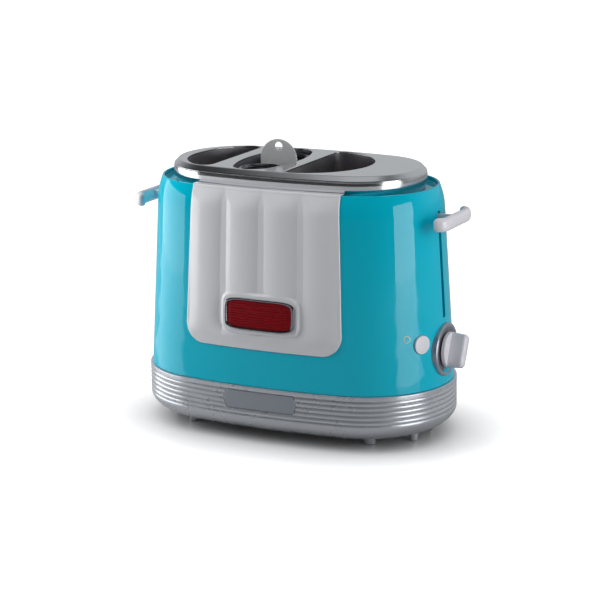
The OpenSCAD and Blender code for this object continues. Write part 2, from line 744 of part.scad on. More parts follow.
module platform(x, x0, x1, half_w) color("silver") difference() {
    union() {
        intersection() {
            translate([x - leg_width / 2, -far, platform_z - platform_sheet])
                cube([leg_width, 2 * far, platform_sheet]);
            slab(frame_in + seat, platform_z - platform_sheet, platform_sheet);
        }
        translate([x0, -half_w, platform_z - platform_sheet]) cube([x1 - x0, 2 * half_w, platform_sheet]);
    }
    for (y = [-half_w + 8 : 12 : half_w - 12])
        for (c = [x0 + 3, x + leg_width / 2 + 1.5])
            translate([c, y, 0]) cube([(x1 - x0) / 2 - leg_width / 2 - 5.5, 5, tall]);
}
module bun_platform_left()
    platform(platform_left_x, bun_left_x - bun_left_width + 5.5, bun_left_x - 4, left_half);
module bun_platform_right()
    platform(platform_right_x, bun_right_x + 2.5, bun_right_x + bun_right_width - 3, right_half);

lever_in_r = lever_corner_r - lever_bar;        // inner radius of the corners
lever_cx = lever_reach - lever_corner_r;
lever_cy = lever_length / 2 - lever_corner_r;
tip_x = lever_cx - 0.8;
tip_y = lever_cy + lever_corner_r - lever_bar / 2;
function lever_half() = concat(arc(lever_cx, lever_cy, lever_corner_r, 0, 90, 9),
    arc(tip_x, tip_y, lever_bar / 2, 90, 270, 12), reversed(arc(lever_cx, lever_cy, lever_in_r, 0, 90, 6)));
module lever_right() color("white") {
    half = lever_half();
    translate([0, 0, lever_z - lever_thick / 2])
        linear_extrude(lever_thick) polygon(concat(half, [for (p = reversed(half)) [p[0], -p[1]]]));
    translate([pad_reach + seat, -neck_width / 2, lever_z - neck_height / 2])
        cube([lever_reach - lever_bar / 2 - pad_reach, neck_width, neck_height]);
}
module lever_left() mirror([1, 0, 0]) lever_right();

// ---- latch ----
latch_radius = end_r - 17.5;
latch_r = 3;
armature_low = frame_low - 10;
magnet_top = armature_low - travel - slide;
coil_r = 5.9;
module latch_armature() color("gray") at_left_end(-rod_angle, latch_radius, 0) {
    translate([0, 0, armature_low]) cylinder(r = latch_r, h = 2);
    translate([0, 0, armature_low]) cylinder(r = 1.5, h = frame_low - seat - armature_low);
}
module latch_magnet() color("sienna") at_left_end(-rod_angle, latch_radius, 0) {
    translate([0, 0, magnet_top - 4]) cylinder(r = latch_r, h = 4);
    translate([0, 0, magnet_top - 24]) cylinder(r = coil_r, h = 20);
}
module magnet_bracket() color("darkgray") at_left_end(-rod_angle, latch_radius, 0)
    translate([-coil_r + 0.8, -7, deck_top + seat]) difference() {
        cube([2 * coil_r - 1.6, 14, magnet_top - 24 - seat - deck_top - seat]);
        translate([-1, 1.2, 1.2]) cube([20, 14 - 2.4, magnet_top - 24 - 2 * seat - deck_top - 2.4]);
    }

// ---- basket ----
module at_rings() for (s = [-1, 1]) translate([basket_x, s * ring_y, 0]) children();
module basket_rings() color("dimgray") {
    at_rings() translate([0, 0, ring_low]) rotate_extrude()
        polygon([[ring_r - ring_wall, 0], [ring_r, 0], [ring_r, ring_height - 1.5],
            [ring_r - 0.6, ring_height], [ring_r - ring_wall - 0.6, ring_height - 2.5]]);
    for (s = [-1, 1])
        translate([basket_x - 6, s > 0 ? tab_sheet / 2 + seat : -ring_y + ring_r - ring_wall / 2, ring_low])
            cube([12, ring_y - ring_r + ring_wall / 2 - tab_sheet / 2 - seat, 2]);
}
module basket_tab() color("silver") difference() {
    union() {
        translate([tab_x, tab_sheet / 2, tab_top - tab_dome_r]) rotate([90, 0, 0])
            cylinder(r = tab_dome_r, h = tab_sheet);
        translate([tab_x - tab_width / 2, -tab_sheet / 2, ring_low])
            cube([tab_width, tab_sheet, tab_top - tab_dome_r - ring_low]);
    }
    translate([tab_x, tab_sheet, tab_hole_z]) rotate([90, 0, 0]) cylinder(r = tab_hole_r, h = 2 * tab_sheet);
}
cage_hoop = 2;
cage_hoops = 3;
module cage(s) translate([basket_x, s * ring_y, basket_foot]) {
    height = ring_low - seat - basket_foot;
    cylinder(r = cage_r + cage_wire_r + 0.1, h = cage_hoop);
    for (k = [1:cage_hoops + 1])
        translate([0, 0, k * (height - cage_hoop) / (cage_hoops + 1)]) difference() {
            cylinder(r = cage_r + cage_wire_r + 0.1, h = cage_hoop);
            translate([0, 0, -1]) cylinder(r = cage_r - cage_wire_r - 0.1, h = cage_hoop + 2);
        }
    for (k = [0:cage_wires - 1])
        rotate([0, 0, (k + 0.5) * 360 / cage_wires]) translate([cage_r, 0, cage_hoop / 2])
            cylinder(r = cage_wire_r, h = height - cage_hoop);
}
module basket_cage_front() color("silver") cage(-1);
module basket_cage_rear() color("silver") cage(1);

rest_half = 53;
module basket_rest() color("darkgray") translate([basket_x - 5, -rest_half, deck_top + seat]) difference() {
    cube([10, 2 * rest_half, basket_foot - deck_top - seat]);
    translate([-1, 1.5, -1]) cube([12, 2 * rest_half - 3, basket_foot - deck_top - seat - 0.5]);
}

// ---- timer, knob, boards ----
module timer_body() color("dimgray") translate([0, 0, knob_z]) difference() {
    union() {
        rod_x(12, timer_x0, timer_x1);
        rod_x(bush_r, timer_x1 - 1, bush_x1);
    }
    rod_x(shaft_r + shaft_play, timer_x0 + 4, bush_x1 + 1);
}
shaft_end = knob_reach - 7;
module timer_shaft() color("silver") translate([0, 0, knob_z]) rod_x(shaft_r, timer_x0 + 4 + seat, shaft_end);

module shell_space(t) intersection() {
    translate([end_x, 0, 0])
        rotate_extrude($fn = arc_fn / 2)
            polygon([[0, base_height], [end_r + shell_off(base_height) + t, base_height],
                [end_r + shell_off(shoulder_z) + t, shoulder_z], [0, shoulder_z]]);
    end_wedge(0);
}
module knob_bezel() color("lightgray") difference() {
    translate([0, 0, knob_z]) {
        rod_x(bezel_r, shell_x - 16, bezel_reach - 1);
        translate([bezel_reach - 1, 0, 0]) rotate([0, 90, 0]) cylinder(r1 = bezel_r, r2 = bezel_r - 1, h = 1);
    }
    shell_space(seat);
    translate([0, 0, knob_z]) rod_x(bezel_r - 3.4, bezel_reach - 0.5, bezel_reach + 2);
    translate([0, 0, knob_z]) rod_x(bush_r + shaft_play, shell_x - 20, bezel_reach + 2);
}

module grip_outline() {
    half = knob_r - grip_thick / 2 - step_in;
    square([grip_thick, 2 * half], center = true);
    for (s = [-1, 1]) translate([0, s * half]) circle(r = grip_thick / 2 - step_in);
}
module timer_knob() color("white") translate([0, 0, knob_z]) rotate([knob_turn, 0, 0]) difference() {
    union() {
        rod_x(knob_r, knob_x0, knob_x0 + knob_disc);
        translate([knob_x0 + knob_disc - 1, 0, 0]) rotate([0, 90, 0]) rotate([0, 0, 90])
            linear_extrude(knob_reach - knob_x0 - knob_disc + 1) grip_outline();
    }
    rod_x(shaft_r + shaft_play, knob_x0 - 1, shaft_end + seat);
}

pcb_half = 22;
board_z0 = deck_top + 8;
board_z1 = frame_low - travel - 5;
module control_board() color("seagreen") difference() {
    translate([board_x, -pcb_half + 4, board_z0]) cube([1.6, 2 * pcb_half - 4, board_z1 - board_z0]);
    for (y = [-12, 16]) translate([0, y, board_z0 + 4]) rod_x(1.5, board_x - 2, board_x + 4);
}
module board_bracket() color("darkgray") difference() {
    union() {
        translate([board_x - seat - 1.2, -16, deck_top + seat]) cube([1.2, 36, 18]);
        translate([board_x - seat - 14, -16, deck_top + seat]) cube([14, 36, 1.2]);
    }
    for (y = [-12, 16]) translate([0, y, board_z0 + 4]) rod_x(1.3, board_x - 5, board_x + 4);
}
module board_screws() color("silver") for (y = [-12, 16]) translate([0, y, board_z0 + 4]) {
    rod_x(1.25, board_x - 4, board_x + 1.65);
    rod_x(2.5, board_x + 1.65, board_x + 3.2);
}

module stop_button() color("white") at_end(button_angle, 0, button_z) {
    rod_x(button_r, button_face - button_cap, button_face - 0.8);
    translate([button_face - 0.8, 0, 0]) rotate([0, 90, 0])
        cylinder(r1 = button_r, r2 = button_r - 0.8, h = 0.8);
    rod_x(button_r + 1.5, button_face - button_cap - button_flange, button_face - button_cap);
    rod_x(2.5, button_face - button_cap - button_flange - button_stem, button_face - button_cap);
}
module button_switch() color("black") at_end(button_angle, 0, button_z) {
    rod_x(1.6, switch_face - 2.4, switch_face);
    translate([switch_face - 5.4, -3.5, -3.5]) cube([3, 7, 7]);
}
module button_bracket() color("darkgray") at_end(button_angle, 0, 0)
    translate([switch_face - 5.4 - seat - 1.4, -8, deck_top + seat]) {
        cube([1.4, 16, button_z + 8 - deck_top]);
        cube([9, 16, 1.4]);
    }

// ---- crumb tray, gland, screws ----
module crumb_tray() color("gray") {
    difference() {
        intersection() {
            translate([tray_left, tray_front, tray_z]) cube([tray_right - tray_left, base_depth, tray_depth]);
            slab(base_wall - 1, tray_z, tray_depth);
        }
        intersection() {
            translate([tray_left + 1, tray_front + 1, tray_z + 1])
                cube([tray_right - tray_left - 2, base_depth, tray_depth]);
            slab(base_wall + 1, tray_z + 1, tray_depth);
        }
    }
    intersection() {
        translate([tray_left, 0, tray_z]) cube([tray_right - tray_left, base_depth, tray_lip]);
        plan_sweep([[-base_wall, tray_z], [-rib_depth, tray_z], [-rib_depth, tray_z + tray_lip],
            [-base_wall, tray_z + tray_lip]]);
    }
}

gland_r = 6;
module cord_gland() color("black") at_end(gland_angle, end_r, gland_z) difference() {
    union() {
        rod_x(gland_r - shaft_play, -base_wall - 3, 0);
        rod_x(gland_r + 1.8, slide, 2.2);
        rod_x(gland_r - shaft_play, -0.5, 1);
    }
    rod_x(cord_r, -20, 20);
}

module chassis_screws() color("silver") four_ends(screw_angle, screw_radius, deck_top + shaft_play) {
    translate([0, 0, -12]) cylinder(r = screw_r, h = 12.5);
    cylinder(r = 3.4, h = 2);
}

base_shell();
feet();
foot_pads();
nameplate();
body_shell();
front_panel();
rear_panel();
badge_frame();
badge_insert();
top_plate();
chassis_bottom();
chassis_top();
chamber_liner();
mica_board(0);  // mica_board_1
mica_board(1);  // mica_board_2
mica_board(2);  // mica_board_3
mica_board(3);  // mica_board_4
heating_wire(0);  // heating_wire_1
heating_wire(1);  // heating_wire_2
heating_wire(2);  // heating_wire_3
heating_wire(3);  // heating_wire_4
bun_guides();
guide_rods();
return_springs();
carriage_frame();
bun_platform_left();
bun_platform_right();
lever_left();
lever_right();
latch_armature();
latch_magnet();
magnet_bracket();
basket_rings();
basket_tab();
basket_cage_front();
basket_cage_rear();
basket_rest();
timer_body();
timer_shaft();
knob_bezel();
timer_knob();
control_board();
board_bracket();
stop_button();
button_switch();
button_bracket();
crumb_tray();
cord_gland();
chassis_screws();
board_screws();
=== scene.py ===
"""Hot dog toaster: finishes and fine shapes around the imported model.

Lengths are written in millimetres and scaled to metres when a mesh is made.
+Z is up, +X points to the end with the knob and -Y to the front.
"""

import json
import math

import bmesh
import bpy
from mathutils import Matrix, Vector
from mathutils.geometry import delaunay_2d_cdt


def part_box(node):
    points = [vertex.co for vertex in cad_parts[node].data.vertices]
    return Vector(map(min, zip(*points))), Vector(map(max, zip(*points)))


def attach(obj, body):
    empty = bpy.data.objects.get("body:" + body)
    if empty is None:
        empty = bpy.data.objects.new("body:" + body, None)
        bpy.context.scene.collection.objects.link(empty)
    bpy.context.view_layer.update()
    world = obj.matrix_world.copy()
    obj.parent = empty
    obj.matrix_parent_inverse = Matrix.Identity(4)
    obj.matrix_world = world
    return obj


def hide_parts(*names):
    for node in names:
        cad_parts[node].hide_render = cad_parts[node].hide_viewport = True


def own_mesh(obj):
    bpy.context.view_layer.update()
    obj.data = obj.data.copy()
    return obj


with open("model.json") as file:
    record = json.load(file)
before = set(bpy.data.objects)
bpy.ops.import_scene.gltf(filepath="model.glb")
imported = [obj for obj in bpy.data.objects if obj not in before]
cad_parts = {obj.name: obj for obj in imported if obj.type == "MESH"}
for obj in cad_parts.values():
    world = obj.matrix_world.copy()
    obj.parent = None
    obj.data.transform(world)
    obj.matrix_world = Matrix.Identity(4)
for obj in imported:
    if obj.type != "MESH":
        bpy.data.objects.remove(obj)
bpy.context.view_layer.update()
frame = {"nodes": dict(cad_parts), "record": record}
nodes = frame["nodes"]

MM = 0.001
scene = bpy.context.scene

# ---------------------------------------------------------------- sizes
END_X = 63.75             # centre of the end arcs
END_R = 78.25
FRONT_R = 558.5
FRONT_Y = 476.0           # centre of the front and rear arcs
JOIN_ANGLE = math.degrees(math.atan2(112, 15))   # where an end arc meets a side arc
END_STEPS = 72            # points on an end arc of an outline
SIDE_STEPS = 56           # points on a side arc of an outline

FLOOR_HEIGHT = 6.5
BASE_HEIGHT = 49.6
BASE_WALL = 2.8
RIB_COUNT = 5
RIB_PITCH = 4.2
RIB_DEPTH = 0.9
RIM_HEIGHT = 4.1
RIM_LEDGE = 16.0          # how far the base's rim reaches in
CURL_IN = 30.0            # how far the curled edge reaches in

SHELL_INSET = 2.1
SHELL_TAPER = 9.7
SHELL_WALL = 2.5
SHOULDER_ROLL = 3.5
SHOULDER_HEIGHT = 20.0
LIP_Z = 218.5
SHOULDER_Z = LIP_Z - SHOULDER_HEIGHT
LIP_INSET = SHELL_INSET + SHELL_TAPER + SHOULDER_ROLL

PLATE_Z = 233.3
PLATE_INSET = 25.6        # where the top's edge starts to turn down
SKIRT_FOOT = 212.8
LEDGE_Z = 214.1
SHEET = 1.0

PANEL_HALF = 74.3
PANEL_TAPER = 4.5
PANEL_BOTTOM = 82.0
PANEL_TOP = 219.4
PANEL_BACK = -21.4        # how far in the panel's cap reaches
PANEL_ROLL = -14.8        # where its roll over the lip ends
PANEL_CORNER = 18.0
PANEL_SKIN = 0.9
PANEL_BEND = 217.4        # where the panel starts to bend over the lip
PANEL_SHOULDER = 203.0    # where the flutes start to sink
FLUTES = 4
FLUTE_HEIGHT = 2.9

BADGE_SIZE = (67.0, 27.0)
BADGE_Z = 113.3
BADGE_SEAT_WIDTH = 4.5
BADGE_FRAME_WIDTH = 3.0
BADGE_RIBS = 10
BADGE_POWER = 0.36        # how square the badge's bowed outline is
BADGE_BASE = FLUTE_HEIGHT + 0.3

LEVER_Z = 193.0
KNOB_Z = 79.0
BUTTON_Z = 90.2
BUTTON_ANGLE = -26.6
BUTTON_R = 8.0
SLOT_HALF, SLOT_LOW, SLOT_HIGH = 2.5, 107.0, 199.0
KNOB_HOLE_R = 4.6
GLAND_ANGLE, GLAND_Z, GLAND_HOLE_R = 60, 35.6, 6.0


# ---------------------------------------------------------------- plan outline
def plan_stations(end_x, end_r, side_r, side_y):
    """Arc centre, arc radius and angle of each point round an outline."""
    side_half = 90 - JOIN_ANGLE
    found = []
    for sign, middle in ((1, 0), (-1, 180)):
        for k in range(END_STEPS):
            a = middle - JOIN_ANGLE + 2 * JOIN_ANGLE * k / END_STEPS
            found.append((sign * end_x, 0.0, end_r, math.radians(a)))
        for k in range(SIDE_STEPS):
            a = middle + 90 - side_half + 2 * side_half * k / SIDE_STEPS
            found.append((0.0, -sign * side_y, side_r, math.radians(a)))
    return found


STATIONS = plan_stations(END_X, END_R, FRONT_R, FRONT_Y)
# The top plate has the same depth but is shorter at each end
PLATE_END_X, PLATE_END_R, PLATE_SIDE_R, PLATE_SIDE_Y = 58.125, 78.625, 516.5, 434.0
PLATE_STATIONS = plan_stations(PLATE_END_X, PLATE_END_R, PLATE_SIDE_R, PLATE_SIDE_Y)


def plan_ring(offset, z, stations=STATIONS):
    """Points round the outline, grown by offset, at height z."""
    return [(cx + (r + offset) * math.cos(a), cy + (r + offset) * math.sin(a), z)
            for cx, cy, r, a in stations]


def shell_offset(z):
    """Offset of the body shell's outside from the base outline."""
    lean = -SHELL_INSET - SHELL_TAPER * (z - BASE_HEIGHT) / (LIP_Z - BASE_HEIGHT)
    if z > SHOULDER_Z:
        lean -= SHOULDER_ROLL * ((z - SHOULDER_Z) / SHOULDER_HEIGHT) ** 2
    return lean


def front_y(x, proud):
    """Front of the base outline at x, standing proud by some amount."""
    r = FRONT_R + proud
    return FRONT_Y - math.sqrt(r * r - x * x)


def front_point(x, z, proud):
    """A point on the front face, standing proud of the shell."""
    return (x, front_y(x, shell_offset(z) + proud), z)


def signed_power(value, power):
    """A power that keeps the sign, for squared-off rounds."""
    return math.copysign(abs(value) ** power, value)


def circle(cx, cy, r, z, steps=64):
    """Points round a level circle."""
    return [(cx + r * math.cos(2 * math.pi * k / steps), cy + r * math.sin(2 * math.pi * k / steps), z)
            for k in range(steps)]


# ---------------------------------------------------------------- mesh tools
def finished(name, bm, body, material, replaces=(), crease=32):
    """Turns a bmesh in millimetres into a piece that rides on a body."""
    bmesh.ops.remove_doubles(bm, verts=bm.verts, dist=1e-4)
    bmesh.ops.recalc_face_normals(bm, faces=bm.faces)
    bmesh.ops.scale(bm, vec=(MM, MM, MM), verts=bm.verts)
    mesh = bpy.data.meshes.new(name)
    bm.to_mesh(mesh)
    bm.free()
    mesh.shade_smooth()
    mesh.set_sharp_from_angle(angle=math.radians(crease))
    piece = bpy.data.objects.new(name, mesh)
    scene.collection.objects.link(piece)
    mesh.materials.append(material)
    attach(piece, body)
    if replaces:
        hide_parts(*replaces)
    return piece


def add_rings(bm, rings, closed_loop=False, cap_ends=False):
    """Joins rings of equal length with quads. closed_loop joins the last ring to the first."""
    made = [[bm.verts.new(p) for p in ring] for ring in rings]
    pairs = list(zip(made, made[1:]))
    if closed_loop:
        pairs.append((made[-1], made[0]))
    for low, high in pairs:
        n = len(low)
        for i in range(n):
            j = (i + 1) % n
            bm.faces.new((low[i], low[j], high[j], high[i]))
    if cap_ends:
        bm.faces.new(list(reversed(made[0])))
        bm.faces.new(made[-1])
    return made


def add_grid(bm, rows):
    """Joins open rows of equal length with quads."""
    made = [[bm.verts.new(p) for p in row] for row in rows]
    for low, high in zip(made, made[1:]):
        for i in range(len(low) - 1):
            bm.faces.new((low[i], low[i + 1], high[i + 1], high[i]))
    return made


def softened(points, steps=5, closed=True):
    """A profile of (u, v, radius) corners with each corner rounded by its radius."""
    n = len(points)
    out = []
    for i, (u, v, r) in enumerate(points):
        if r <= 0 or (not closed and i in (0, n - 1)):
            out.append((u, v))
            continue
        here = Vector((u, v))
        before = Vector(points[i - 1][:2]) - here
        after = Vector(points[(i + 1) % n][:2]) - here
        half = before.angle(after) / 2
        reach = min(r / max(math.tan(half), 1e-3), 0.48 * before.length, 0.48 * after.length)
        p0 = here + before.normalized() * reach
        p2 = here + after.normalized() * reach
        for k in range(steps + 1):
            t = k / steps
            q = p0 * (1 - t) ** 2 + here * (2 * t * (1 - t)) + p2 * t ** 2
            out.append((q.x, q.y))
    return out


def turned(bm, profile, centre, axis="Z", steps=64, closed_loop=True):
    """A closed profile of (radius, height) turned about an axis through centre."""
    rings = []
    for r, h in profile:
        ring = []
        for k in range(steps):
            a = 2 * math.pi * k / steps
            x, y = r * math.cos(a), r * math.sin(a)
            if axis == "Z":
                ring.append((centre[0] + x, centre[1] + y, centre[2] + h))
            else:
                ring.append((centre[0] + h, centre[1] + x, centre[2] + y))
        rings.append(ring)
    add_rings(bm, rings, closed_loop=closed_loop, cap_ends=not closed_loop)


def tube(bm, path, radius, sides=10, closed=False):
    """A round tube along a path."""
    points = [Vector(p) for p in path]
    n = len(points)
    rings = []
    normal = None
    for i, p in enumerate(points):
        if closed:
            along = (points[(i + 1) % n] - points[i - 1]).normalized()
        else:
            along = (points[min(i + 1, n - 1)] - points[max(i - 1, 0)]).normalized()
        if normal is None:
            normal = along.orthogonal().normalized()
        normal = (normal - along * normal.dot(along)).normalized()
        side = along.cross(normal)
        rings.append([
            tuple(p + (normal * math.cos(a) + side * math.sin(a)) * radius)
            for a in (2 * math.pi * k / sides for k in range(sides))
        ])
    add_rings(bm, rings, closed_loop=closed, cap_ends=not closed)


def round_box(bm, low, high, radius):
    """A box with rounded edges between two corners."""
    made = bmesh.ops.create_cube(bm, size=1.0)["verts"]
    centre = (Vector(low) + Vector(high)) / 2
    size = Vector(high) - Vector(low)
    bmesh.ops.scale(bm, vec=size, verts=made)
    bmesh.ops.translate(bm, vec=centre, verts=made)
    edges = list(dict.fromkeys(e for v in made for e in v.link_edges))
    bmesh.ops.bevel(bm, geom=edges, offset=radius, segments=3, profile=0.5, affect="EDGES")


def cut(piece, cutters, crease=40):
    """Cuts closed meshes out of a piece, with its body and material kept."""
    for cutter in cutters:
        scene.collection.objects.link(cutter)
        change = piece.modifiers.new("cut", "BOOLEAN")
        change.operation = "DIFFERENCE"
        change.solver = "EXACT"
        change.object = cutter
    bpy.context.view_layer.update()
    evaluated = piece.evaluated_get(bpy.context.evaluated_depsgraph_get())
    mesh = bpy.data.meshes.new_from_object(evaluated)
    mesh.name = piece.name
    piece.modifiers.clear()
    piece.data = mesh
    mesh.shade_smooth()
    mesh.set_sharp_from_angle(angle=math.radians(crease))
    weigh = piece.modifiers.new("weigh_normals", "WEIGHTED_NORMAL")
    weigh.keep_sharp = True
    for cutter in cutters:
        bpy.data.objects.remove(cutter)
    return piece


def cutter_from(name, build):
    """A closed cutting mesh in millimetres; build draws into its bmesh."""
    bm = bmesh.new()
    build(bm)
    bmesh.ops.recalc_face_normals(bm, faces=bm.faces)
    bmesh.ops.scale(bm, vec=(MM, MM, MM), verts=bm.verts)
    mesh = bpy.data.meshes.new(name)
    bm.to_mesh(mesh)
    bm.free()
    return bpy.data.objects.new(name, mesh)


def at_end(angle, radius, z):
    """A point at an angle round the right end."""
    a = math.radians(angle)
    return (END_X + radius * math.cos(a), radius * math.sin(a), z)


def end_hole(bm, radius, low, high, angle, z, steps):
    """A round cutter through the right end's wall, from low to high along its radius."""
    turned(bm, [(radius, low), (radius, high)], (0, 0, 0), axis="X", steps=steps, closed_loop=False)
    turn = Matrix.Rotation(math.radians(angle), 4, "Z")
    bmesh.ops.transform(bm, matrix=Matrix.Translation(at_end(angle, END_R, z)) @ turn, verts=bm.verts)


# ---------------------------------------------------------------- material tools
def new_group(name, inputs, outputs):
    """A shader node group. inputs and outputs are (name, socket type[, default])."""
    group = bpy.data.node_groups.new(name, "ShaderNodeTree")
    for item in inputs:
        socket = group.interface.new_socket(item[0], in_out="INPUT", socket_type=item[1])
        if len(item) > 2:
            socket.default_value = item[2]
    for item in outputs:
        group.interface.new_socket(item[0], in_out="OUTPUT", socket_type=item[1])
    start = group.nodes.new("NodeGroupInput")
    end = group.nodes.new("NodeGroupOutput")
    return group, start, end


def add_node(tree, kind, links=None, **values):
    """A node with its settings, its constants and its incoming links."""
    made = tree.nodes.new(kind)
    for key, value in values.items():
        setattr(made, key, value)
    for socket, source in (links or {}).items():
        if isinstance(source, bpy.types.NodeSocket):
            tree.links.new(source, made.inputs[socket])
        else:
            made.inputs[socket].default_value = source
    return made


def object_place(tree):
    """The object's own coordinates."""
    return add_node(tree, "ShaderNodeTexCoord").outputs["Object"]


def ripple_group():
    """The slight waviness of sprayed lacquer and moulded gloss."""
    group, start, end = new_group(
        "lacquer_ripple",
        [("Scale", "NodeSocketFloat", 900.0)],
        [("Height", "NodeSocketFloat"), ("Cloud", "NodeSocketFloat")],
    )
    place = object_place(group)
    fine = add_node(group, "ShaderNodeTexNoise", {
        "Vector": place, "Scale": start.outputs["Scale"], "Detail": 2.0})
    wide = add_node(group, "ShaderNodeTexNoise", {"Vector": place, "Scale": 14.0, "Detail": 3.0})
    group.links.new(fine.outputs["Fac"], end.inputs["Height"])
    group.links.new(wide.outputs["Fac"], end.inputs["Cloud"])
    return group


def brushed_group():
    """Fine grinding lines: noise drawn out along one direction."""
    group, start, end = new_group(
        "brushed_lines",
        [("Stretch", "NodeSocketVector", (40.0, 900.0, 900.0)), ("Low", "NodeSocketFloat", 0.2),
         ("High", "NodeSocketFloat", 0.4)],
        [("Height", "NodeSocketFloat"), ("Roughness", "NodeSocketFloat")],
    )
    place = object_place(group)
    drawn = add_node(group, "ShaderNodeVectorMath", {0: place, 1: start.outputs["Stretch"]},
                     operation="MULTIPLY")
    lines = add_node(group, "ShaderNodeTexNoise", {"Vector": drawn.outputs[0], "Scale": 1.0, "Detail": 4.0})
    rough = add_node(group, "ShaderNodeMapRange", {
        "Value": lines.outputs["Fac"], "From Min": 0.3, "From Max": 0.7,
        "To Min": start.outputs["Low"], "To Max": start.outputs["High"]})
    group.links.new(lines.outputs["Fac"], end.inputs["Height"])
    group.links.new(rough.outputs["Result"], end.inputs["Roughness"])
    return group


def handling_group():
    """Roughness that varies as on a wiped and handled surface."""
    group, start, end = new_group(
        "handling_marks",
        [("Scale", "NodeSocketFloat", 22.0), ("Low", "NodeSocketFloat", 0.05),
         ("High", "NodeSocketFloat", 0.12)],
        [("Roughness", "NodeSocketFloat")],
    )
    place = object_place(group)
    marks = add_node(group, "ShaderNodeTexNoise", {
        "Vector": place, "Scale": start.outputs["Scale"], "Detail": 5.0, "Distortion": 0.6})
    rough = add_node(group, "ShaderNodeMapRange", {
        "Value": marks.outputs["Fac"], "From Min": 0.35, "From Max": 0.7,
        "To Min": start.outputs["Low"], "To Max": start.outputs["High"]})
    group.links.new(rough.outputs["Result"], end.inputs["Roughness"])
    return group


def flake_group():
    """Metallic lacquer flake: small cells of slightly different brightness."""
    group, start, end = new_group(
        "metal_flake",
        [("Scale", "NodeSocketFloat", 2600.0), ("Dark", "NodeSocketColor", (0.4, 0.4, 0.4, 1)),
         ("Light", "NodeSocketColor", (0.6, 0.6, 0.6, 1))],
        [("Color", "NodeSocketColor"), ("Height", "NodeSocketFloat")],
    )
    place = object_place(group)
    cells = add_node(group, "ShaderNodeTexVoronoi", {"Vector": place, "Scale": start.outputs["Scale"]})
    parts = add_node(group, "ShaderNodeSeparateColor", {"Color": cells.outputs["Color"]})
    blend = add_node(group, "ShaderNodeMix", {
        "Factor": parts.outputs["Red"], 6: start.outputs["Dark"], 7: start.outputs["Light"]},
        data_type="RGBA")
    group.links.new(blend.outputs[2], end.inputs["Color"])
    group.links.new(parts.outputs["Green"], end.inputs["Height"])
    return group


def edge_group():
    """Where edges are rubbed: a mask from how convex the surface is."""
    group, start, end = new_group(
        "rubbed_edges",
        [("Start", "NodeSocketFloat", 0.53), ("Full", "NodeSocketFloat", 0.62)],
        [("Mask", "NodeSocketFloat")],
    )
    shape = add_node(group, "ShaderNodeNewGeometry")
    mask = add_node(group, "ShaderNodeMapRange", {
        "Value": shape.outputs["Pointiness"], "From Min": start.outputs["Start"],
        "From Max": start.outputs["Full"], "To Min": 0.0, "To Max": 1.0})
    group.links.new(mask.outputs["Result"], end.inputs["Mask"])
    return group


RIPPLE = ripple_group()
BRUSHED = brushed_group()
HANDLING = handling_group()
FLAKE = flake_group()
EDGES = edge_group()


def new_material(name, **constants):
    """A material with a Principled shader; constants sit on the shader's own sockets."""
    made = bpy.data.materials.new(name)
    made.use_nodes = True
    tree = made.node_tree
    shader = next(n for n in tree.nodes if n.type == "BSDF_PRINCIPLED")
    for socket, value in constants.items():
        shader.inputs[socket.replace("_", " ")].default_value = value
    return made, tree, shader


def place_group(tree, group, **values):
    """A use of a shared group, with its inputs set."""
    made = tree.nodes.new("ShaderNodeGroup")
    made.node_tree = group
    for key, value in values.items():
        made.inputs[key].default_value = value
    return made


def bump(tree, shader, height, strength, distance):
    """Feeds a height to the shader's normal. distance is in metres."""
    made = add_node(tree, "ShaderNodeBump", {"Height": height, "Strength": strength, "Distance": distance})
    tree.links.new(made.outputs["Normal"], shader.inputs["Normal"])


def opaque(colour):
    """A colour of three numbers with full alpha."""
    return tuple(colour) + (1,)


def handled(tree, shader, scale, low, high):
    """Roughness between two values, with handling marks."""
    marks = place_group(tree, HANDLING, Scale=scale, Low=low, High=high)
    tree.links.new(marks.outputs["Roughness"], shader.inputs["Roughness"])


def tinted(tree, shader, factor, dark, light):
    """Base colour that runs from dark to light with a factor."""
    made = add_node(tree, "ShaderNodeMix", {"Factor": factor, 6: opaque(dark), 7: opaque(light)},
                    data_type="RGBA")
    tree.links.new(made.outputs[2], shader.inputs["Base Color"])
    return made


def gloss_lacquer(name, dark, light, coat_rough=0.03, rough=0.32, coat=1.0, specular=0.3):
    """Gloss lacquer or moulded gloss: a coat over a coloured ground with a slight ripple."""
    made, tree, shader = new_material(
        name, Roughness=rough, Coat_Weight=coat, Coat_Roughness=coat_rough, Coat_IOR=1.5,
        Specular_IOR_Level=specular)
    wave = place_group(tree, RIPPLE, Scale=900.0)
    tinted(tree, shader, wave.outputs["Cloud"], dark, light)
    handled(tree, shader, 30.0, rough - 0.05, rough + 0.08)
    bump(tree, shader, wave.outputs["Height"], 0.05, 0.0002)
    return made


def polished_metal(name, dark, light, low, high):
    """Polished plate with wiping marks."""
    made, tree, shader = new_material(name, Metallic=1.0)
    wave = place_group(tree, RIPPLE, Scale=300.0)
    tinted(tree, shader, wave.outputs["Cloud"], dark, light)
    handled(tree, shader, 22.0, low, high)
    bump(tree, shader, wave.outputs["Height"], 0.02, 0.0002)
    return made


def brushed_metal(name, dark, light, stretch, low, high, metallic=1.0):
    """Brushed or drawn metal: lines along one direction."""
    made, tree, shader = new_material(name, Metallic=metallic)
    lines = place_group(tree, BRUSHED, Stretch=stretch, Low=low, High=high)
    rub = place_group(tree, EDGES)
    body = tinted(tree, shader, lines.outputs["Height"], dark, light)
    bright = opaque(min(1, c * 1.25) for c in light)
    worn = add_node(tree, "ShaderNodeMix", {"Factor": rub.outputs["Mask"], 6: body.outputs[2], 7: bright},
                    data_type="RGBA")
    tree.links.new(worn.outputs[2], shader.inputs["Base Color"])
    tree.links.new(lines.outputs["Roughness"], shader.inputs["Roughness"])
    bump(tree, shader, lines.outputs["Height"], 0.08, 0.0001)
    return made


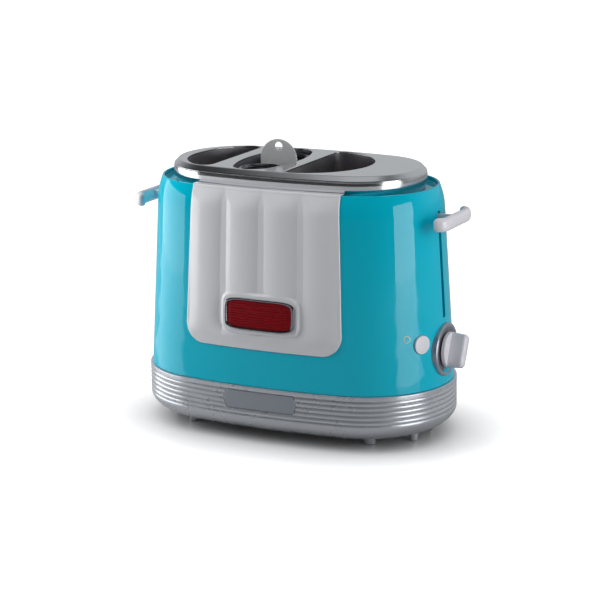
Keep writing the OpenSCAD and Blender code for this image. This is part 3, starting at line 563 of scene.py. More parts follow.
def flake_lacquer(name, dark, light, low=0.24, high=0.34):
    """Silver lacquer on moulded plastic, with flake under a thin clear coat."""
    made, tree, shader = new_material(
        name, Metallic=0.65, Coat_Weight=0.35, Coat_Roughness=0.12, Coat_IOR=1.5)
    flake = place_group(tree, FLAKE, Scale=2600.0, Dark=opaque(dark), Light=opaque(light))
    tree.links.new(flake.outputs["Color"], shader.inputs["Base Color"])
    handled(tree, shader, 26.0, low, high)
    bump(tree, shader, flake.outputs["Height"], 0.006, 0.00003)
    return made


def rough_solid(name, dark, light, scale, rough_low, rough_high, depth):
    """Matt moulded plastic, rubber or board with a fine grain."""
    made, tree, shader = new_material(name, Metallic=0.0)
    place = object_place(tree)
    grain = add_node(tree, "ShaderNodeTexNoise", {"Vector": place, "Scale": scale, "Detail": 6.0})
    tinted(tree, shader, grain.outputs["Fac"], dark, light)
    handled(tree, shader, 40.0, rough_low, rough_high)
    bump(tree, shader, grain.outputs["Fac"], depth, 0.0002)
    return made


def galvanised_sheet(name):
    """Zinc-coated sheet with its crystal pattern."""
    made, tree, shader = new_material(name, Metallic=1.0)
    place = object_place(tree)
    crystals = add_node(tree, "ShaderNodeTexVoronoi", {"Vector": place, "Scale": 160.0})
    parts = add_node(tree, "ShaderNodeSeparateColor", {"Color": crystals.outputs["Color"]})
    tinted(tree, shader, parts.outputs["Red"], (0.42, 0.43, 0.45), (0.62, 0.63, 0.65))
    rough = add_node(tree, "ShaderNodeMapRange", {
        "Value": parts.outputs["Green"], "To Min": 0.28, "To Max": 0.46})
    tree.links.new(rough.outputs["Result"], shader.inputs["Roughness"])
    bump(tree, shader, parts.outputs["Blue"], 0.05, 0.0001)
    return made


def banded(name, dark, light, scale, direction, metallic, low, high, depth):
    """Bands across one direction, as on a winding or a laminated board."""
    made, tree, shader = new_material(name, Metallic=metallic)
    place = object_place(tree)
    bands = add_node(tree, "ShaderNodeTexWave", {
        "Vector": place, "Scale": scale, "Distortion": 0.4, "Detail": 2.0}, bands_direction=direction)
    tinted(tree, shader, bands.outputs["Fac"], dark, light)
    handled(tree, shader, 60.0, low, high)
    bump(tree, shader, bands.outputs["Fac"], depth, 0.0003)
    return made


def circuit_board(name):
    """Green solder mask over a net of copper tracks."""
    made, tree, shader = new_material(name, Coat_Weight=0.5, Coat_Roughness=0.15)
    place = object_place(tree)
    along_y = add_node(tree, "ShaderNodeVectorMath", {0: place, 1: (0.0, 1.0, 0.0)}, operation="MULTIPLY")
    tracks = add_node(tree, "ShaderNodeTexBrick", {
        "Vector": along_y.outputs[0],
        "Color1": (0.02, 0.16, 0.07, 1), "Color2": (0.02, 0.13, 0.06, 1), "Mortar": (0.10, 0.34, 0.14, 1),
        "Scale": 240.0, "Mortar Size": 0.04})
    tree.links.new(tracks.outputs["Color"], shader.inputs["Base Color"])
    handled(tree, shader, 60.0, 0.3, 0.45)
    bump(tree, shader, tracks.outputs["Fac"], 0.2, 0.0001)
    return made


# ---------------------------------------------------------------- finishes
TEAL = gloss_lacquer("teal_lacquer", (0.0, 0.49, 0.66), (0.0, 0.52, 0.69), coat=0.8, specular=0.0)
WHITE = gloss_lacquer("white_panel_gloss", (0.74, 0.75, 0.78), (0.78, 0.79, 0.82), coat_rough=0.10, rough=0.4)
HANDLE_WHITE = gloss_lacquer("white_handle_gloss", (0.78, 0.77, 0.83), (0.82, 0.81, 0.86),
                             coat_rough=0.12, rough=0.4)
RED = gloss_lacquer("badge_red_gloss", (0.20, 0.002, 0.006), (0.25, 0.003, 0.008), coat_rough=0.06,
                    coat=0.3, specular=0.1)
CHROME = polished_metal("bright_chrome", (0.72, 0.73, 0.75), (0.80, 0.81, 0.83), 0.15, 0.20)
DARK_CHROME = polished_metal("dark_chrome", (0.24, 0.24, 0.27), (0.32, 0.32, 0.35), 0.08, 0.16)
INNER_CHROME = polished_metal("inner_chrome", (0.56, 0.55, 0.60), (0.64, 0.63, 0.68), 0.40, 0.50)
DISH = polished_metal("dial_dish", (0.32, 0.31, 0.36), (0.38, 0.37, 0.42), 0.42, 0.50)
SILVER = flake_lacquer("silver_flake_lacquer", (0.60, 0.62, 0.66), (0.62, 0.64, 0.68))
PLATE_SILVER = flake_lacquer("smooth_silver", (0.35, 0.38, 0.43), (0.37, 0.40, 0.45), 0.3, 0.38)
SATIN = brushed_metal("satin_steel", (0.66, 0.68, 0.68), (0.76, 0.78, 0.78), (60.0, 900.0, 1500.0),
                      0.34, 0.46, metallic=0.4)
WIRE = brushed_metal("drawn_wire", (0.50, 0.50, 0.51), (0.66, 0.66, 0.67), (900.0, 900.0, 60.0), 0.2, 0.34)
SPRING = brushed_metal("spring_wire", (0.20, 0.20, 0.21), (0.34, 0.34, 0.35), (700.0, 700.0, 700.0),
                       0.25, 0.4)
TRAY = brushed_metal("tray_steel", (0.46, 0.47, 0.49), (0.58, 0.59, 0.62), (40.0, 900.0, 900.0), 0.28, 0.42)
SHEET_STEEL = galvanised_sheet("galvanised_sheet")
MICA = banded("mica_board", (0.42, 0.34, 0.24), (0.62, 0.54, 0.40), 6.0, "Z", 0.0, 0.35, 0.6, 0.1)
RIBBON = banded("heater_ribbon", (0.10, 0.09, 0.10), (0.28, 0.24, 0.22), 60.0, "Y", 1.0, 0.35, 0.55, 0.05)
COPPER = banded("copper_winding", (0.36, 0.13, 0.05), (0.66, 0.30, 0.13), 420.0, "Z", 1.0, 0.2, 0.35, 0.8)
BLACK = rough_solid("black_moulding", (0.012, 0.012, 0.012), (0.03, 0.03, 0.03), 1200.0, 0.4, 0.6, 0.3)
RUBBER = rough_solid("rubber_pad", (0.02, 0.02, 0.02), (0.05, 0.05, 0.05), 900.0, 0.7, 0.9, 0.4)
GREEN = circuit_board("circuit_board")
CREAM = rough_solid("cream_print", (0.62, 0.62, 0.42), (0.72, 0.72, 0.52), 900.0, 0.4, 0.5, 0.1)
DARK_PRINT = rough_solid("dark_print", (0.02, 0.02, 0.03), (0.05, 0.05, 0.06), 900.0, 0.5, 0.6, 0.1)

NODE_FINISH = {
    "steel": WIRE, "sheet_steel": SHEET_STEEL, "spring_steel": SPRING, "satin_tab": SATIN,
    "tray_steel": TRAY, "mica": MICA, "heater_ribbon": RIBBON, "copper_coil": COPPER,
    "black_plastic": BLACK, "green_board": GREEN, "rubber_pad": RUBBER, "teal_gloss": TEAL,
    "white_gloss": HANDLE_WHITE, "dark_chrome": DARK_CHROME, "chrome_plate": CHROME,
    "badge_red": RED, "base_silver": SILVER, "plate_silver": PLATE_SILVER,
}
for part in frame["record"]["subparts"]:
    node = nodes[part["node"]]
    node.data.materials.clear()
    node.data.materials.append(NODE_FINISH[part["material_slot"]])


# ---------------------------------------------------------------- base
def rib_corners():
    """Outside of the base from its rim down to its floor."""
    ribs_top = BASE_HEIGHT - RIM_HEIGHT
    ribs_low = ribs_top - RIB_COUNT * RIB_PITCH
    out = [(-RIM_LEDGE, BASE_HEIGHT, 0), (0.0, BASE_HEIGHT, 0.9), (0.0, ribs_top + 0.5, 0.4)]
    steps = 8
    for i in range(RIB_COUNT):
        for k in range(steps + 1):
            if i and not k:
                continue
            z = ribs_top - i * RIB_PITCH - RIB_PITCH * k / steps
            out.append((RIB_DEPTH * (abs(math.sin(math.pi * k / steps)) ** 0.7 - 1), z, 0))
    return out, ribs_low


def base_tray():
    """Ribbed tray with a curled edge, the pegs under its ends and its three openings."""
    outer, ribs_low = rib_corners()
    curl = ribs_low - FLOOR_HEIGHT
    steps = 18
    for k in range(steps + 1):
        a = math.radians(90 * k / steps)
        out = 0.0 if k else -0.3
        outer.append((out - CURL_IN * (1 - math.cos(a)), ribs_low - 0.3 - (curl - 0.3) * math.sin(a), 0))
    inner = []
    for k in range(steps, -1, -1):
        a = math.radians(90 * k / steps)
        inner.append((-CURL_IN * (1 - math.cos(a)) - BASE_WALL * math.cos(a),
                      ribs_low - (curl - BASE_WALL) * math.sin(a), 0))
    inner += [(-BASE_WALL, BASE_HEIGHT - BASE_WALL, 0), (-RIM_LEDGE, BASE_HEIGHT - BASE_WALL, 0)]
    profile = softened(outer + inner, steps=4)
    bm = bmesh.new()
    add_rings(bm, [plan_ring(u, z) for u, z in profile], closed_loop=True)
    peg = softened([(0.01, 0.4, 0), (3.4, 0.4, 0.5), (4.4, 8.9, 0), (0.01, 8.9, 0)], steps=4)
    for x in (-116.0, 116.0):
        for y in (-18.0, 18.0):
            turned(bm, peg, (x, y, 0), steps=40)
    piece = finished("base_tray", bm, "housing", SILVER, ["base_shell"], crease=50)
    low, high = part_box("crumb_tray")

    def tray_door(door):
        round_box(door, (low.x / MM - 0.3, 55.0, low.z / MM - 0.3),
                  (high.x / MM + 0.3, 120.0, high.z / MM + 0.3), 0.5)

    def gland_hole(hole):
        end_hole(hole, GLAND_HOLE_R, -16.0, 8.0, GLAND_ANGLE, GLAND_Z, 32)

    def plate_pocket(pocket):
        outline = name_plate_outline(0.25)
        rings = [[(x, -95.0, z) for x, z in outline], [(x, front_y(x, -1.5), z) for x, z in outline]]
        add_rings(pocket, rings, cap_ends=True)

    cut(piece, [cutter_from("tray_door", tray_door), cutter_from("gland_hole", gland_hole),
                cutter_from("plate_pocket", plate_pocket)], crease=60)
    floor_of_base()


def floor_of_base():
    """The flat underside inside the curled edge."""
    bm = bmesh.new()
    inset = CURL_IN - 1.5
    rings = [plan_ring(-inset, FLOOR_HEIGHT), plan_ring(-inset, FLOOR_HEIGHT + BASE_WALL)]
    add_rings(bm, rings, cap_ends=True)
    finished("base_floor", bm, "housing", SILVER)


NAME_Z = 37.8
NAME_HALF_W, NAME_HALF_H, NAME_BOW = 34.5, 8.2, 3.0


def name_plate_outline(grow):
    """Closed outline with straight long sides and bowed ends."""
    top = [(-1 + 2 * k / 40, 1.0) for k in range(41)]
    right = [(1.0, 1 - 2 * k / 16) for k in range(1, 16)]
    points = top + right + [(-u, -v) for u, v in top] + [(-u, -v) for u, v in right]
    out = []
    for u, v in points:
        half = NAME_HALF_W - NAME_BOW * v * v + grow
        out.append((half * u, NAME_Z + (NAME_HALF_H + grow) * v))
    return out


def name_plate():
    """The bare plate set into the ribs, with bowed ends."""
    rows = []
    steps_z, steps_x = 20, 56
    edge = 0.6
    bm = bmesh.new()
    for j in range(steps_z + 1):
        v = math.copysign(1 - (1 - abs(-1 + 2 * j / steps_z)) ** 1.5, -1 + 2 * j / steps_z)
        z = NAME_Z + NAME_HALF_H * v
        half = NAME_HALF_W - NAME_BOW * v * v
        row = []
        for i in range(steps_x + 1):
            u = -1 + 2 * i / steps_x
            x = half * math.copysign(1 - (1 - abs(u)) ** 1.6, u)
            near = min((1 - abs(v)) * NAME_HALF_H, half - abs(x))
            drop = edge * max(0.0, 1 - near / edge) ** 2
            row.append((x, front_y(x, -0.03 - drop), z))
        rows.append(row)
    front = add_grid(bm, rows)
    close_to_back(bm, front, 0.8)
    return finished("name_plate", bm, "housing", PLATE_SILVER, ["nameplate"], crease=50)


def close_to_back(bm, front, depth):
    """Closes a front grid with walls and a back that lies depth behind it."""
    close_grids(bm, front, [[(v.co.x, v.co.y + depth, v.co.z) for v in row] for row in front])


def close_grids(bm, front, back_points):
    """Closes a front grid with a back grid of the same size and walls between them."""
    back = [[bm.verts.new(p) for p in row] for row in back_points]
    for low, high in zip(back, back[1:]):
        for i in range(len(low) - 1):
            bm.faces.new((low[i], high[i], high[i + 1], low[i + 1]))
    loop_f = front[0] + [r[-1] for r in front[1:]] + front[-1][-2::-1] + [r[0] for r in front[-2:0:-1]]
    loop_b = back[0] + [r[-1] for r in back[1:]] + back[-1][-2::-1] + [r[0] for r in back[-2:0:-1]]
    for i in range(len(loop_f)):
        j = (i + 1) % len(loop_f)
        bm.faces.new((loop_f[i], loop_b[i], loop_b[j], loop_f[j]))


def feet():
    """Four tapered feet with a softened tip."""
    bm = bmesh.new()
    profile = softened([(3.7, 2.4, 0), (3.7, 0.4, 0.2), (5.2, 0.4, 0.6), (6.0, 6.45, 0), (0.01, 6.45, 0),
                        (0.01, 2.4, 0)], steps=4)
    for x in (-85.5, 85.5):
        for y in (-42.0, 42.0):
            turned(bm, profile, (x, y, 0), steps=48)
    return finished("feet_pegs", bm, "housing", SILVER, ["feet"])


# ---------------------------------------------------------------- body shell
def body_shell():
    """Tapered shell with a rolled lip, a slot in each end and holes for the button and the knob."""
    heights = [50.7, 62.5, 82.5, 102.5, 122.5, 142.5, 162.5, 182.5, 192.5]
    heights += [SHOULDER_Z + SHOULDER_HEIGHT * k / 20 for k in range(20)]
    outer = [(shell_offset(z), z, 0) for z in heights]
    bottom = [(shell_offset(49.9) - SHELL_WALL, 49.8, 0.3), (shell_offset(49.8), 49.8, 0.5)]
    lip = [(-LIP_INSET, LIP_Z, 0.9), (-LIP_INSET - 1.7, LIP_Z, 0.7), (-LIP_INSET - 2.3, 215.0, 0.6),
           (-19.4, LEDGE_Z, 0)]
    under = SKIRT_FOOT + 0.1
    inner = [(-SHELL_WALL - 17.0, under), (shell_offset(211) - SHELL_WALL - 0.8, under)]
    inner_heights = (209.5, 206.5, 202.5, 197.5, 182.5, 142.5, 102.5, 62.5)
    inner += [(shell_offset(z) - SHELL_WALL, z) for z in inner_heights]
    upper = softened(bottom + outer + lip, steps=5, closed=False)
    ledge = [plan_ring(-22.7, z, PLATE_STATIONS) for z in (LEDGE_Z, under)]
    bm = bmesh.new()
    rings = [plan_ring(u, z) for u, z in upper] + ledge + [plan_ring(u, z) for u, z in inner]
    add_rings(bm, rings, closed_loop=True)
    piece = finished("body_shell_teal", bm, "housing", TEAL, ["body_shell"])

    def slot(side):
        def build(bm):
            x0, x1 = sorted((side * 110.0, side * 160.0))
            round_box(bm, (x0, -SLOT_HALF, SLOT_LOW), (x1, SLOT_HALF, SLOT_HIGH), 1.2)
        return build

    def button_hole(bm):
        end_hole(bm, BUTTON_R + 0.3, -20.0, 20.0, BUTTON_ANGLE, BUTTON_Z, 64)

    def knob_hole(bm):
        ends = [(KNOB_HOLE_R, 118.0), (KNOB_HOLE_R, 160.0)]
        turned(bm, ends, (0, 0, KNOB_Z), axis="X", steps=48, closed_loop=False)

    return cut(piece, [cutter_from("slot_right", slot(1)), cutter_from("slot_left", slot(-1)),
                       cutter_from("button_hole", button_hole), cutter_from("knob_hole", knob_hole)])


# ---------------------------------------------------------------- fluted panels
FLUTE_PITCH = 2 * PANEL_HALF / FLUTES
FLUTE_R = ((FLUTE_PITCH / 2) ** 2 + FLUTE_HEIGHT ** 2) / (2 * FLUTE_HEIGHT)
FADE_LOW = PANEL_BOTTOM + 7
FADE_HIGH = PANEL_BOTTOM + 24
EDGE_ROUND = 1.0


def smooth(t):
    """An even step from 0 to 1."""
    t = max(0.0, min(1.0, t))
    return t * t * (3 - 2 * t)


def flute_proud(x, z):
    """Height of the fluted surface over the shell."""
    up = (z - PANEL_BOTTOM) / (LIP_Z - PANEL_BOTTOM)
    pitch = FLUTE_PITCH * (1 - 0.03 * up)
    place = x / pitch + FLUTES / 2
    across = (place - math.floor(place) - 0.5) * pitch if 0 < place < FLUTES else pitch / 2
    crest = max(0.0, FLUTE_HEIGHT - FLUTE_R + math.sqrt(FLUTE_R ** 2 - across ** 2))
    fade = smooth((z - FADE_LOW) / (FADE_HIGH - FADE_LOW))
    even = 0.55 * FLUTE_HEIGHT
    low_rise = smooth((z - PANEL_BOTTOM) / 16)
    body = crest * fade + (PANEL_SKIN + even * low_rise * (1 - abs(x / PANEL_HALF) ** 6)) * (1 - fade)
    shoulder = smooth((z - PANEL_SHOULDER) / (LIP_Z - PANEL_SHOULDER))
    body += (1.3 - body) * shoulder * 0.85
    return max(PANEL_SKIN, body)


def badge_outline_gap(x, z, grow):
    """How far inside the badge's bowed outline a point is, as a share (above 0 is inside)."""
    power = 2 / BADGE_POWER
    u = abs(x) / (BADGE_SIZE[0] / 2 + grow)
    v = abs(z - BADGE_Z) / (BADGE_SIZE[1] / 2 + grow)
    return 1 - (u ** power + v ** power) ** (1 / power)


def panel_half_width(z):
    """Half the panel's width at a height, with its round lower corners."""
    up = z - PANEL_BOTTOM
    half = PANEL_HALF - PANEL_TAPER * max(0.0, up - 16.0) / (LIP_Z - PANEL_BOTTOM - 16.0)
    if up < PANEL_CORNER:
        half -= PANEL_CORNER - math.sqrt(PANEL_CORNER ** 2 - (PANEL_CORNER - up) ** 2)
    return half


def panel(name, node, side):
    """Fluted face with a rounded rim, rolled over the shell's lip at its top."""
    columns = 240
    zs = [PANEL_BOTTOM + 0.35 * k for k in range(6)]
    zs += [PANEL_BOTTOM + 2.0 + (PANEL_BEND - PANEL_BOTTOM - 2.0) * k / 150 for k in range(1, 151)]
    rise = PANEL_TOP - PANEL_BEND
    roll = [(k / 6, PANEL_BEND + rise * math.sin(math.pi / 2 * k / 6)) for k in range(1, 7)]
    levels = [(0.0, z, z) for z in zs]
    levels += [(1 - math.cos(math.pi / 2 * t), z, PANEL_BEND) for t, z in roll]
    levels.append((None, PANEL_TOP, PANEL_BEND))
    front_rows, back_rows = [], []
    for turn, z, wall_z in levels:
        up = z - PANEL_BOTTOM
        half = panel_half_width(min(z, LIP_Z))
        front_row, back_row = [], []
        for i in range(columns + 1):
            x = half * (-1 + 2 * i / columns)
            proud = flute_proud(x, wall_z)
            if side < 0:
                seat = smooth(badge_outline_gap(x, z, BADGE_SEAT_WIDTH) / 0.075)
                proud = proud + (FLUTE_HEIGHT + 0.2 - proud) * seat
            corner_x = max(0.0, abs(x) - (PANEL_HALF - PANEL_CORNER))
            corner_z = max(0.0, PANEL_CORNER - up)
            rim = PANEL_CORNER - math.hypot(corner_x, corner_z) if corner_z > 0 else half - abs(x)
            rim = max(0.0, min(rim, up if corner_x == 0 else rim, half - abs(x) if corner_z == 0 else rim))
            if rim < EDGE_ROUND:
                proud = 0.12 + (proud - 0.12) * math.sqrt(max(0.0, 1 - (1 - rim / EDGE_ROUND) ** 2))
            wall = shell_offset(wall_z) + proud
            offset = PANEL_BACK if turn is None else wall + (PANEL_ROLL - wall) * turn
            front_row.append((x, -side * front_y(x, offset), z))
            behind = min(offset, shell_offset(min(z, LIP_Z)) + 0.1)
            back_row.append((x, -side * front_y(x, behind), min(z, LIP_Z + 0.1)))
        front_rows.append(front_row)
        back_rows.append(back_row)
    bm = bmesh.new()
    close_grids(bm, add_grid(bm, front_rows), back_rows)
    return finished(name, bm, "housing", WHITE, [node], crease=60)


# ---------------------------------------------------------------- badge
def bowed_outline(w, h):
    """Rectangle with bowed sides and soft corners."""
    steps = 120
    turns = [2 * math.pi * k / steps for k in range(steps)]
    return [(w / 2 * signed_power(math.cos(a), BADGE_POWER), h / 2 * signed_power(math.sin(a), BADGE_POWER))
            for a in turns]


def badge_frame():
    """A rounded metal frame, wider at its two ends."""
    w, h = BADGE_SIZE
    base = BADGE_BASE
    profile = softened([(0.0, base, 0), (0.0, base + 1.1, 0.6), (1.0, base + 1.5, 0.5),
                        (2.4, base + 1.3, 0.4), (2.9, base + 0.5, 0), (2.9, base, 0)], steps=4)
    rings = []
    for inset, proud in profile:
        outline = bowed_outline(w - 2.0 * inset, h - 2 * inset * 0.6)
        rings.append([front_point(x, BADGE_Z + z, proud) for x, z in outline])
    bm = bmesh.new()
    add_rings(bm, rings, closed_loop=True)
    return finished("badge_surround", bm, "housing", DARK_CHROME, ["badge_frame"], crease=50)


def badge_insert():
    """Red insert: ribs run across it and end in rounded tips."""
    w = BADGE_SIZE[0] - 2 * BADGE_FRAME_WIDTH + 0.1
    h = BADGE_SIZE[1] - 2 * BADGE_FRAME_WIDTH * 0.6
    pitch = (h - 1.2) / BADGE_RIBS
    rows = []
    steps_z, steps_x = BADGE_RIBS * 10, 96
    power = 2 / BADGE_POWER
    for j in range(steps_z + 1):
        v = -1 + 2 * j / steps_z
        half = w / 2 * max(0.0, 1 - abs(v) ** power) ** (1 / power)
        half = max(half, w * 0.2)
        z = h / 2 * v
        row = []
        for i in range(steps_x + 1):
            u = -1 + 2 * i / steps_x
            x = half * math.copysign(1 - (1 - abs(u)) ** 1.5, u)
            tip = (w / 2 - 4.2 - abs(x)) / 0.9
            place = (z + BADGE_RIBS * pitch / 2) / pitch
            wave = math.sin(math.pi * (place - math.floor(place))) if 0 < place < BADGE_RIBS else 0.0
            bead = smooth((1.5 - abs(w / 2 - 4.0 - abs(x))) / 0.8)
            rise = 0.62 * wave * (0.6 + 0.4 * smooth(tip)) + 0.3 * wave * bead
            row.append(front_point(x, BADGE_Z + z, BADGE_BASE + 0.45 + rise))
        rows.append(row)
    bm = bmesh.new()
    front = add_grid(bm, rows)
    close_to_back(bm, front, 0.5)
    return finished("badge_plate", bm, "housing", RED, ["badge_insert"], crease=40)


# ---------------------------------------------------------------- openings
def side_radius(w, cx, yc, rc):
    """Radius of the bulging side that meets two corner arcs of radius rc."""
    return (yc * yc + (w - cx) ** 2 - rc * rc) / (2 * (w - cx - rc))


def arc_points(cx, cy, r, a0, a1, n):
    """n points along an arc, without its end."""
    return [(cx + r * math.cos(math.radians(a0 + (a1 - a0) * k / n)),
             cy + r * math.sin(math.radians(a0 + (a1 - a0) * k / n))) for k in range(n)]


def d_outline(x0, direction, w, length, rc, grow):
    """D-shaped outline: straight edge at x0, bulge on the side given by direction."""
    yc = length / 2 - rc
    rs = side_radius(w, rc, yc, rc)
    a = math.degrees(math.atan2(yc, rc - w + rs))
    points = arc_points(w - rs, 0, rs + grow, -a, a, 48)
    points += arc_points(rc, yc, rc + grow, a, 180, 20)
    points += [(-grow, yc - 2 * yc * k / 16) for k in range(16)]
    points += arc_points(rc, -yc, rc + grow, 180, 360 - a, 20)
    return [(x0 + direction * x, y) for x, y in points]


def oval_outline(x0, w, length, re, grow):
    """Oval outline with round ends and bulging sides."""
    yc = length / 2 - re
    rs = side_radius(w / 2, 0, yc, re)
    a = math.degrees(math.atan2(yc, rs - w / 2))
    points = arc_points(w / 2 - rs, 0, rs + grow, -a, a, 32)
    points += arc_points(0, yc, re + grow, a, 180 - a, 24)
    points += arc_points(rs - w / 2, 0, rs + grow, 180 - a, 180 + a, 32)
    points += arc_points(0, -yc, re + grow, 180 + a, 360 - a, 24)
    return [(x0 + x, y) for x, y in points]


OPENINGS = (
    lambda grow: d_outline(-61.0, -1, 41.0, 102.0, 9.0, grow),
    lambda grow: d_outline(11.0, 1, 56.0, 108.0, 9.0, grow),
    lambda grow: oval_outline(-25.0, 50.0, 108.0, 18.0, grow),
)
FLAT_INSET = 25.95        # where the flat of the plate ends
EDGE_SOFT = 0.8           # round edge of an opening


def inside_flat(point, inset):
    """Moves a point of an opening's edge back inside the flat of the plate."""
    x, y = point
    side = math.copysign(1, x)
    angle = math.degrees(math.atan2(abs(y), abs(x) - PLATE_END_X))
    if angle < JOIN_ANGLE:
        cx, cy, limit = side * PLATE_END_X, 0.0, PLATE_END_R - inset
    else:
        cx, cy, limit = 0.0, -math.copysign(PLATE_SIDE_Y, y), PLATE_SIDE_R - inset
    r = math.hypot(x - cx, y - cy)
    share = min(1.0, limit / r)
    return (cx + (x - cx) * share, cy + (y - cy) * share)


def opening_ring(outline, grow, z):
    """An opening's outline at height z, kept inside the flat of the plate."""
    inset = FLAT_INSET + 0.35 - 0.15 * min(1.0, grow / 1.05)
    return [inside_flat(p, inset) + (z,) for p in outline(grow)]


def in_loop(x, y, loop):
    """Whether a point lies inside a closed loop of points."""
    inside = False
    for (x0, y0, *_), (x1, y1, *_) in zip(loop, loop[1:] + loop[:1]):
        if (y0 > y) != (y1 > y) and x < x0 + (x1 - x0) * (y - y0) / (y1 - y0):
            inside = not inside
    return inside


def fill_between(bm, loops):
    """Fills the flat between an outer loop and the opening loops inside it."""
    flat = [v for loop in loops for v in loop]
    edges, start = [], 0
    for loop in loops:
        n = len(loop)
        edges += [(start + i, start + (i + 1) % n) for i in range(n)]
        start += n
    points = [Vector((v.co.x, v.co.y)) for v in flat]
    found = delaunay_2d_cdt(points, edges, [], 1, 1e-5)
    holes = [[(v.co.x, v.co.y) for v in loop] for loop in loops[1:]]
    origin = [flat[ids[0]] if ids else None for ids in found[3]]
    for face in found[2]:
        corners = [found[0][i] for i in face]
        x = sum(c.x for c in corners) / 3
        y = sum(c.y for c in corners) / 3
        if any(in_loop(x, y, hole) for hole in holes):
            continue
        verts = [origin[i] for i in face]
        if None not in verts and len(set(verts)) == 3 and not bm.faces.get(verts):
            bm.faces.new(verts)


def top_plate():
    """Chrome top: flat plate, sloping rim band, crease, skirt, and a round edge on each opening."""
    bm = bmesh.new()
    z = PLATE_Z
    outer = [(-FLAT_INSET, z, 0), (-PLATE_INSET - 0.1, z, 0.2), (-24.9, z - 0.45, 0.6), (-21.7, z - 3.9, 0.5),
             (-21.25, z - 4.6, 0.3), (-21.7, z - 5.05, 0.15), (-21.1, z - 5.5, 0.3), (-20.8, z - 8.0, 2.0),
             (-21.1, z - 11.5, 2.0), (-21.9, z - 15.0, 2.0), (-23.0, z - 18.2, 1.0),
             (-23.2, SKIRT_FOOT + 0.1, 0.2), (-24.2, SKIRT_FOOT + 0.1, 0.2), (-24.0, z - 18.1, 0.8),
             (-22.9, z - 14.8, 1.0), (-22.1, z - 11.3, 1.0), (-21.8, z - 8.0, 1.0), (-22.6, z - 5.2, 0.4),
             (-25.6, z - 1.3, 0.5), (-FLAT_INSET, z - SHEET, 0)]
    profile = softened(outer, steps=5, closed=False)
    made = add_rings(bm, [plan_ring(u, h, PLATE_STATIONS) for u, h in profile])
    top_loops, under_loops = [made[0]], [made[-1]]
    for outline in OPENINGS:
        rings = [opening_ring(outline, EDGE_SOFT + 0.25, z)]
        for k in range(7):
            a = math.radians(90 * k / 6)
            down = EDGE_SOFT * (1 - math.cos(a))
            rings.append(opening_ring(outline, EDGE_SOFT * (1 - math.sin(a)), z - down))
        for grow, h in ((0.0, z - 1.6), (SHEET, z - 1.6), (SHEET, z - SHEET)):
            rings.append(opening_ring(outline, grow, h))
        loop = add_rings(bm, rings)
        top_loops.append(loop[0])
        under_loops.append(loop[-1])
    for loops in (top_loops, under_loops):
        fill_between(bm, loops)
    finished("top_plate_chrome", bm, "housing", CHROME, ["top_plate"], crease=40)
    collars = bmesh.new()
    for outline in OPENINGS:
        rings = [opening_ring(outline, 0.02, h) for h in (z - 1.5, z - 8.0, SKIRT_FOOT + 0.2)]
        rings += [opening_ring(outline, SHEET, h) for h in (SKIRT_FOOT + 0.2, z - 8.0, z - 1.5)]
        add_rings(collars, rings, closed_loop=True)
    finished("opening_collars", collars, "housing", INNER_CHROME, crease=40)


# ---------------------------------------------------------------- levers
def lever(name, node, side):
    """Bar with turned-in round ends, and the neck that enters the slot."""
    half_w, half_h = 3.7, 6.0
    corner, cx, cy, end_turn = 7.3, 140.0, 21.3, 70.0
    tip_steps, bend_steps, sides = 8, 12, 36
    power, tip = 0.85, 0.03          # how round the bar is, and the least share of its width
    path = []
    a = math.radians(end_turn)
    for k in range(tip_steps, -1, -1):
        past = half_w * math.sin(math.pi / 2 * k / tip_steps)
        x = cx + corner * math.cos(a) - past * math.sin(a)
        y = cy + corner * math.sin(a) + past * math.cos(a)
        path.append((x, y, math.cos(math.pi / 2 * k / tip_steps), end_turn))
    for k in range(1, bend_steps + 1):
        turn = end_turn * (1 - k / bend_steps)
        a = math.radians(turn)
        path.append((cx + corner * math.cos(a), cy + corner * math.sin(a), 1.0, turn))
    path += [(cx + corner, cy - cy * k / 5, 1.0, 0.0) for k in range(1, 6)]
    whole = path + [(x, -y, grow, -a) for x, y, grow, a in reversed(path[:-1])]
    rings = []
    for x, y, grow, a in whole:
        out = Vector((math.cos(math.radians(a)), math.sin(math.radians(a))))
        grow = max(grow, tip)
        tall, shrink = (0.35 + 0.65 * grow, 1) if grow > tip else (0.35, grow)
        ring = []
        for i in range(sides):
            b = 2 * math.pi * i / sides
            across = half_w * signed_power(math.cos(b), power) * grow
            rise = half_h * signed_power(math.sin(b), power) * tall
            ring.append((side * (x + out.x * across), y + out.y * across, LEVER_Z + rise * shrink))
        rings.append(ring)
    bm = bmesh.new()
    add_rings(bm, rings, cap_ends=True)
    x0, x1 = sorted((side * 126.2, side * 147.3))
    round_box(bm, (x0, -2.0, LEVER_Z - 4.0), (x1, 2.0, LEVER_Z + 4.0), 0.8)
    return finished(name, bm, "carriage", HANDLE_WHITE, [node], crease=60)


